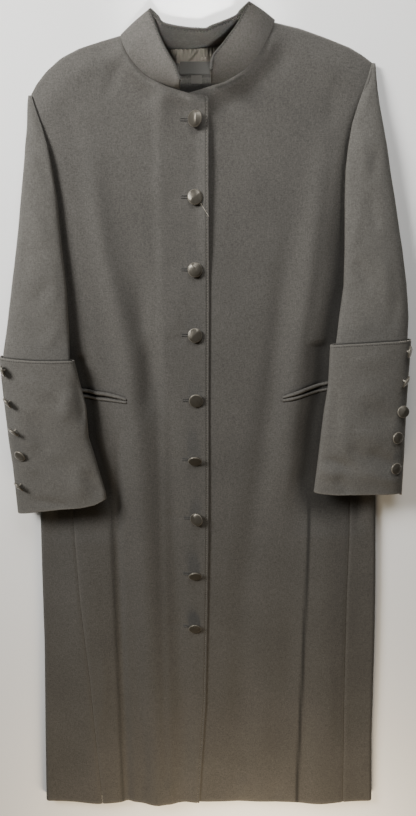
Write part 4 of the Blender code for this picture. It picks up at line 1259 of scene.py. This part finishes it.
def collar():
    """The standing band, with a painted shade line along its free edges."""
    shares = stations(30, 0.12)
    grid, outward = collar_grid(shares)
    place = np.linspace(0.0, 1.0, grid.shape[1])[None, :]
    to_rim = np.minimum(1.0 - shares[:, None], 8.0 * np.minimum(place, 1.0 - place))
    sunk = COLLAR_EDGE_PAINTED_SHADE * hump(to_rim, RIM_LINE_WIDTH)
    return shell("collar_crepe_painted_lighter", grid, COLLAR_WALL, collar_crepe_painted_lighter, outward, sunk=sunk)


# Small parts


def ring_faces(first, rings, segments):
    """Faces between closed rings of points that are numbered on from first."""
    faces = []
    for ring in range(rings - 1):
        low = first + ring * segments
        high = low + segments
        for step in range(segments):
            beside = (step + 1) % segments
            faces.append([low + step, low + beside, high + beside, high + step])
    return faces


def rod_faces(first, rings, segments):
    """Faces of closed rings with a flat cap at each end."""
    start = list(range(first + segments - 1, first - 1, -1))
    end = list(range(first + (rings - 1) * segments, first + rings * segments))
    return [*ring_faces(first, rings, segments), start, end]


SIX_TURNS = np.radians(np.arange(6) * 60.0)


def thread_run(name, path, stitch, look, normals=None, slant=0.0):
    """A row of short stitches along a path in mm, each a small padded bar that lies on the cloth.

    normals are the ways that the cloth faces along the path, straight up unless given.
    """
    radius, length, gap = stitch
    steps = np.linalg.norm(np.diff(path, axis=0), axis=1)
    reach = np.concatenate([[0.0], np.cumsum(steps)])
    if normals is None:
        normals = np.tile(np.array([0.0, 0.0, 1.0]), (len(path), 1))
    points = []
    faces = []
    place = gap
    while place + length < reach[-1]:
        start, end = (
            np.array([np.interp(spot, reach, path[:, axis]) for axis in range(3)])
            for spot in (place, place + length)
        )
        normal = np.array([np.interp(place, reach, normals[:, axis]) for axis in range(3)])
        normal /= np.linalg.norm(normal)
        sideways = np.cross(normal, end - start)
        sideways /= max(np.linalg.norm(sideways), 1e-6)
        start = start - sideways * slant
        end = end + sideways * slant
        faces += rod_faces(len(points), 3, 6)
        for spot, swell, padding in ((start, 0.45, 0.2), ((start + end) / 2.0, 1.0, 0.55), (end, 0.45, 0.2)):
            for turn in SIX_TURNS:
                out = sideways * math.cos(turn) + normal * math.sin(turn)
                points.append(spot + out * radius * swell + normal * radius * padding)
        place += length + gap
    return new_piece(name, points, faces, look)


def welt(side, part):
    """One lip of a pocket: a folded strip with a soft round back, following the mouth."""
    rows = POCKETS[side]
    x = np.linspace(rows["x"][0], rows["x"][-1], 70)
    middle, opening, width = (np.interp(x, rows["x"], rows[name]) for name in ("y", "open", part))
    way, plumpness = (1.0, 0.36) if part == "upper" else (-1.0, 0.3)
    grid = []
    for share in np.linspace(0.0, 1.0, 13):
        y = middle + way * (opening + width * share)
        plump = np.sin(math.pi * share) ** 0.6 * plumpness * width
        face = np.maximum(front_height(x, y) - hollow(side, x, y), LOWEST_FRONT)
        inner_drop = 1.6 * max(0.0, 1.0 - share / 0.25) ** 2
        grid.append(np.stack([x, y, face + LIP_LIFT + plump - inner_drop], 1))
    grid = np.array(grid)
    pressed = np.zeros(grid.shape[:2])
    # The middle of the lip's round back is painted paler: a painted highlight where it bulges up, with some
    # press wear.
    pressed[3:9] = 0.6
    return shell(side + "_pocket_" + part + "_lip", grid, LIP_WALL, body_crepe, up(grid), pressed=pressed)


def ring_points(middle, radius, gather=0.0):
    """A level ring of points round a middle, with the small waves of gathered cloth."""
    angles = 2.0 * math.pi * np.arange(BUTTON_SEGMENTS) / BUTTON_SEGMENTS
    reach = radius * (1.0 + gather * np.cos(GATHERS * angles))
    x = middle[0] + reach * np.cos(angles)
    y = middle[1] + reach * np.sin(angles)
    return np.stack([x, y, np.full(len(angles), middle[2])], 1)


def button_height(place, turn, radius, surface):
    """How high a button's foot stands, so that its leaning rim clears the cloth under it."""
    needed = surface(*place)
    for share, height in RIM_CHECKS:
        out = radius * share
        for angle in 2.0 * math.pi * np.arange(16) / 16:
            point = turn @ Vector((out * math.cos(angle), out * math.sin(angle), BUTTON_SHANK + height))
            needed = max(needed, surface(place[0] + point.x, place[1] + point.y) - point.z)
    return needed + BUTTON_GAP


def button(name, middle, lean, ridge, rise, crest, radius, surface):
    """A covered button: satin drawn over a low mould and gathered behind it, on a shank of thread.

    middle is the plan place of the button's middle. The drawn satin stands up in a low ridge across the
    face, turned by ridge degrees and set off from the middle by a share crest of the radius.
    """
    axis = Vector((*lean, 1.0)).normalized()
    turn = Vector((0.0, 0.0, 1.0)).rotation_difference(axis).to_matrix()
    half = BUTTON_SHANK + BUTTON_THICKNESS / 2.0
    place = (middle[0] - half * axis.x, middle[1] - half * axis.y)
    raised = Vector((*place, button_height(place, turn, radius, surface)))
    foot = turn.inverted() @ (Vector((*place, surface(*place) + 0.3)) - raised)
    neck = Vector((0.0, 0.0, BUTTON_SHANK))
    rings = [ring_points(foot.lerp(neck, share), SHANK_RADIUS) for share in SHANK_RINGS]
    for number, (out, height) in enumerate(BUTTON_PROFILE):
        gather = GATHER_DEPTH if number in GATHERED_RINGS else 0.0
        ring = ring_points((0.0, 0.0, BUTTON_SHANK + height), out * radius, gather)
        if number >= FIRST_FACE_RING:
            angles = np.arctan2(ring[:, 1], ring[:, 0])
            off_ridge = out * np.sin(angles - math.radians(ridge)) - crest
            slope = np.where(off_ridge > 0.0, 1.0 - crest, 1.0 + crest)
            ring[:, 2] += rise * (1.0 - np.abs(off_ridge) / slope) * (1.0 - out ** 3)
        rings.append(ring)
    crown = BUTTON_SHANK + BUTTON_PROFILE[-1][1] + rise * (1.0 - abs(crest) / (1.0 + abs(crest)))
    points = np.concatenate([[foot], *rings, [(0.0, 0.0, crown)]])
    last = len(points) - 1
    faces = ring_faces(1, len(rings), BUTTON_SEGMENTS)
    for step in range(BUTTON_SEGMENTS):
        beside = (step + 1) % BUTTON_SEGMENTS
        faces.append([0, 1 + beside, 1 + step])
        faces.append([last - BUTTON_SEGMENTS + step, last - BUTTON_SEGMENTS + beside, last])
    piece = new_piece(name, points, faces, button_satin, light_thread)
    stretched = np.zeros(len(points))
    for number, share in BUTTON_RIM:
        first = 1 + (len(SHANK_RINGS) + number) * BUTTON_SEGMENTS
        stretched[first:first + BUTTON_SEGMENTS] = share
    keep_shares(piece, "stretched", stretched)
    first_of_satin = 1 + (len(SHANK_RINGS) + 1) * BUTTON_SEGMENTS
    for face in piece.data.polygons:
        face.material_index = int(max(face.vertices) < first_of_satin)
    piece.matrix_world = Matrix.Translation(raised * MM) @ turn.to_4x4()
    return piece


# The robe


def worn_by(piece, slot, *nodes):
    """The piece rides on the robe and stands for its CAD nodes; its slot is not used."""
    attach(piece, "root")
    if nodes:
        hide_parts(*nodes)
    return piece


fronts = {side: worn_by(front(side), "crepe", side + "_front") for side in SIDE}
sides = {side: worn_by(side_panel(side), "crepe", side + "_side_panel") for side in SIDE}
sleeves = {side: worn_by(sleeve(side), "crepe", side + "_sleeve") for side in SIDE}
cuffs = {side: worn_by(cuff(side), "crepe", side + "_cuff") for side in SIDE}
back_piece = worn_by(back(), "crepe", "back_panel")
collar_piece = worn_by(collar(), "crepe", "collar")
lips = {
    side: [
        worn_by(welt(side, part), "crepe", side + "_pocket_" + part + "_welt") for part in ("upper", "lower")
    ]
    for side in SIDE
}


# Inside the neck

# Folds of the satin above the label.
SATIN_FOLDS = table("x0 y0 x1 y1 width rise", [
    (-13.0, 605.0, -24.0, 590.5, 2.4, 3.4), (-8.6, 603.0, -19.0, 590.0, 2.0, -2.0),
    (-37.0, 604.0, -44.0, 592.0, 2.4, 2.4), (4.0, 606.0, 14.0, 593.0, 2.2, 1.3),
    (24.0, 609.0, 30.0, 595.0, 2.4, 1.2), (-12.0, 592.6, 6.0, 592.0, 0.9, 0.9),
    (-12.0, 595.4, 6.0, 595.0, 0.9, 0.8),
])
SATIN_ENDS = (-78.0, 64.0)
SATIN_FOOT_Y = 590.0
GATHER_SPACING = 5.2
FACING = table("y right left", [(520.0, -70.0, 60.0), (560.0, -79.0, 67.0), (590.5, -80.0, 68.0)])
FACING_SHADE_Y = 566.0
FACING_SEAM_Y = 572.2
LABEL_BOX = (-36.0, 574.2, 14.0, 590.0)
TAB_BOX = (-21.0, 562.8, -6.4, 573.2)
LABEL_FLOOR = BODY_WALL + 1.7


def neck_lining():
    """Satin gathered along the back neck seam, below the band."""
    x = np.linspace(*SATIN_ENDS, 240)
    top = np.interp(x, BACK_NECKLINE["x"], BACK_NECKLINE["y"]) - 3.2
    bottom = SATIN_FOOT_Y + 2.0 * np.sin(x / 31.0)
    grid = []
    for share in stations(24):
        y = bottom + (top - bottom) * share
        wander = 0.8 * np.sin(x / 9.0) + 0.5 * share
        pleats = 2.6 * np.abs(np.sin(math.pi * x / GATHER_SPACING + wander)) * (0.1 + 0.9 * share ** 2)
        pleats = pleats + 0.8 * np.sin(x / 7.3 + share * 2.0) * np.sin(math.pi * share)
        rise = np.clip(pleats + creases(x, y, SATIN_FOLDS), 0.0, 5.4)
        grid.append(np.stack([x, y, BODY_WALL + 1.9 + rise], 1))
    grid = np.array(grid)
    return shell("neck_lining_satin", grid, SATIN_WALL, neck_satin, up(grid))


def neck_facing():
    """Plain facing of the back neck, where the label is sewn, with painted shade where it goes down into the
    robe and along its seam.
    """
    grid = []
    sunk = []
    for y in np.linspace(FACING["y"][0], FACING["y"][-1], 71):
        x = at(FACING, "right", y) + (at(FACING, "left", y) - at(FACING, "right", y)) * stations(36)
        seam = float(hump(y - FACING_SEAM_Y, 1.2))
        wave = 0.35 * np.sin(x / 23.0) * np.sin((y - FACING["y"][0]) / 24.0)
        grid.append(np.stack([x, np.full(len(x), y), BODY_WALL + 1.3 + wave - 0.6 * seam], 1))
        # Painted shade along the seam and where the facing goes down into the robe.
        sunk.append(np.full(len(x), max(0.8 * seam, float(ease((FACING_SHADE_Y - y) / 6.0)))))
    grid = np.array(grid)
    return shell("neck_facing_crepe", grid, LINING_WALL, body_crepe, up(grid), sunk=np.array(sunk))


def tape(name, x0, y0, x1, y1, look):
    """A short length of ribbon laid flat on the facing."""
    x = x0 + (x1 - x0) * stations(24)
    grid = []
    for share in stations(14):
        z = LABEL_FLOOR + TAPE_WALL + 0.25 * np.sin((x - x0) / 8.0) * np.sin(math.pi * share)
        grid.append(np.stack([x, np.full(len(x), y0 + (y1 - y0) * share), z], 1))
    grid = np.array(grid)
    return shell(name, grid, TAPE_WALL, look, up(grid))


lining_piece = worn_by(neck_lining(), "lining_satin", "neck_lining")
facing_piece = worn_by(neck_facing(), "crepe", "neck_lining")
label_piece = worn_by(tape("neck_label_tape", *LABEL_BOX, label_tape), "label_tape", "neck_label")
tab_piece = worn_by(tape("size_tab_tape", *TAB_BOX, tab_tape), "tab_tape", "size_tab")


# Buttons, buttonholes and sewing


def sew_button(name, rows, number, radius, surface):
    """The button of one row of a table of buttons."""
    x, y, lean_x, lean_y, ridge, rise, crest = (float(column[number]) for column in rows.values())
    made = button(name + "_satin", (x, y), (lean_x, lean_y), ridge, rise, crest, radius, surface)
    return worn_by(made, "button_satin", name)


def sew_cuff_buttons(side):
    """The buttons along the outer edge of one cuff."""
    return [
        sew_button(
            side + "_cuff_button_" + str(number + 1), CUFF_BUTTONS[side], number, CUFF_BUTTON_RADIUS,
            lambda x, y: cuff_top(side, x, y),
        )
        for number in range(5)
    ]


front_buttons = [
    sew_button("front_button_" + str(number + 1), FRONT_BUTTONS, number, FRONT_BUTTON_RADIUS, lap_height)
    for number in range(9)
]
cuff_buttons = {side: sew_cuff_buttons(side) for side in SIDE}


def on_right_front(line):
    """Points of a plan line, laid on the finished right front."""
    height, _, _ = front_face("right", line[:, 0], line[:, 1])
    return np.column_stack([line, height])


placket_y = np.linspace(HEM_Y + 2.0, PLACKET_TOP_Y, 600)
placket_line = np.column_stack([at(PLACKET, "x", placket_y) - PLACKET_STITCH_INSET, placket_y])
placket_sewing = worn_by(thread_run(
    "placket_topstitching", on_right_front(placket_line), PLACKET_STITCH, placket_thread,
), "crepe")


def collar_edge(share, lifted):
    """A line along the collar band near its top, lifted off its outer face, and the way that face looks."""
    rows, _ = collar_grid(np.array([share - 0.05, share]))
    face = np.cross(np.gradient(rows[1], axis=0), rows[1] - rows[0])
    face /= np.linalg.norm(face, axis=1, keepdims=True)
    face *= np.sign((face * (rows[1] - rows[1].mean(axis=0)) * (1.0, 1.0, 0.0)).sum())
    return rows[1] + face * lifted, face


line, face = collar_edge(0.965, 0.15)
collar_sewing = worn_by(thread_run(
    "collar_outer_topstitching", line, COLLAR_OUTER_STITCH, dark_thread, face,
), "crepe")
line, face = collar_edge(0.95, -COLLAR_WALL - 0.15)
collar_inner_sewing = worn_by(thread_run(
    "collar_inner_topstitching", line, COLLAR_INNER_STITCH, dark_thread, -face,
), "crepe")


def loose_thread():
    """The end of a thread that was not snipped, from under the second button down over the placket edge."""
    way = on_right_front(smooth_line(np.array(LOOSE_THREAD), 24))
    way[:, 2] += 0.5 + 2.4 * (1.0 - ease(np.linspace(0.0, 1.0, 24) / 0.35))
    section = np.stack([0.35 * np.cos(SIX_TURNS), 0.18 * np.cos(SIX_TURNS), 0.35 * np.sin(SIX_TURNS)], 1)
    points = (way[:, None] + section).reshape(-1, 3)
    return new_piece("front_loose_thread", points, rod_faces(0, 24, 6), light_thread)


loose_thread_piece = worn_by(loose_thread(), "crepe")


def buttonholes():
    """Worked buttonholes: a slit to the right side of each front button, bound with close stitches."""
    points = []
    faces = []
    for x, y in zip(FRONT_BUTTONS["x"], FRONT_BUTTONS["y"]):
        slit_x = np.linspace(x - HOLE_START, x - HOLE_END, HOLE_STITCHES)
        base = on_right_front(np.column_stack([slit_x, np.full(HOLE_STITCHES, y)]))
        for way in (-1.0, 1.0):
            first = len(points)
            for number, (x_stitch, y_stitch, height) in enumerate(base):
                reach = HOLE_LIP_RADIUS * (1.0 if number % 2 else HOLE_SHORT_STITCH)
                for turn in SIX_TURNS[:4]:
                    y_turned = y_stitch + way * HOLE_LIP + reach * math.cos(turn)
                    points.append((x_stitch, y_turned, height + reach * math.sin(turn) + 0.05))
            for here in range(first, len(points) - 4, 4):
                faces += [[low, low + 1, low + 5, low + 4] for low in (here, here + 1, here + 2)]
    return new_piece("front_buttonholes", points, faces, dark_thread)


buttonhole_piece = worn_by(buttonholes(), "crepe")


def cuff_edge_line(side, share, lifted):
    """The upper side of a cuff's ring, in mm, raised off the cloth."""
    section = np.array(cuff_section(side, share))[:TUBE_OVER + 1]
    section[:, 2] += lifted
    return section


cuff_sewing = {
    side: worn_by(thread_run(
        side + "_cuff_edge_stitching", cuff_edge_line(side, 0.988, 0.1), CUFF_STITCH, dark_thread,
    ), "crepe")
    for side in SIDE
}
outer_corner = cuff_edge_line("left", 1.0, -0.2)[28:TUBE_OVER - 1]
overcast = worn_by(thread_run(
    "left_cuff_overcasting", outer_corner, OVERCAST_STITCH, light_thread, slant=OVERCAST_SLANT,
), "crepe")


# Floor, light and camera


def floor():
    """A plain pale floor, 1 mm under the robe."""
    made, tree, coords = new_finish("pale_floor")
    speck = add_node(tree, "ShaderNodeTexNoise", {"Vector": (coords, "Object"), "Scale": 3.0, "Detail": 2.0})
    tone = add_node(tree, "ShaderNodeMix", {
        "Factor": (speck, "Fac"), "A": linear("#f4f4f2"), "B": linear("#f8f8f7"),
    }, data_type="RGBA")
    shader = add_node(tree, "ShaderNodeBsdfPrincipled", {"Base Color": (tone, "Result"), "Roughness": 0.9})
    add_node(tree, "ShaderNodeOutputMaterial", {"Surface": (shader, "BSDF")})
    corners = [(-5000, -5000, -1), (5000, -5000, -1), (5000, 5000, -1), (-5000, 5000, -1)]
    piece = new_piece("studio_floor", corners, [(0, 1, 2, 3)], made)


def softbox(name, place, target, size, power, colour, spread=180.0, mirrored=True):
    """A square soft light that faces a point; spread is how wide its grid lets it shine.

    mirrored is False where the satin is not to show a highlight of it.
    """
    lamp = bpy.data.lights.new(name, "AREA")
    lamp.shape = "SQUARE"
    lamp.size = size
    lamp.energy = power
    lamp.color = linear(colour)[:3]
    lamp.spread = math.radians(spread)
    made = bpy.data.objects.new(name, lamp)
    made.location = place
    made.rotation_euler = (Vector(target) - Vector(place)).to_track_quat("-Z", "Y").to_euler()
    made.visible_camera = False
    made.visible_glossy = mirrored
    bpy.context.scene.collection.objects.link(made)


floor()
softbox("key_from_left", (-1.25, 1.1, 1.05), (0.15, 0.4, 0.0), 0.65, 22.5, "#fffefc", 110.0)
softbox("fill_from_head", (0.2, 1.35, 0.85), (0.1, 0.3, 0.0), 0.7, 5.6, "#ffffff", 120.0)
softbox("fill_over_neck", (0.14, -0.2, 1.5), (-0.008, 0.65, 0.03), 0.12, 0.15, "#ffffff", 7.0, mirrored=False)
softbox("hem_fill", (0.1, -0.98, 0.32), (0.0, -0.6, 0.0), 0.3, 6.4, "#ffe9c6", mirrored=False)

world = bpy.data.worlds.new("pale_room")
world.use_nodes = True
world.node_tree.nodes["Background"].inputs["Color"].default_value = linear("#fff3e2")
world.node_tree.nodes["Background"].inputs["Strength"].default_value = 0.055
bpy.context.scene.world = world

lens = bpy.data.cameras.new("photo_camera")
lens.sensor_width = 36.0
lens.lens = 26.0
camera = bpy.data.objects.new("photo_camera", lens)
camera.location = (0.002, 0.3245, 0.899)
camera.rotation_euler = (math.radians(-13.9227), 0.0, 0.0)
bpy.context.scene.collection.objects.link(camera)
bpy.context.scene.camera = camera
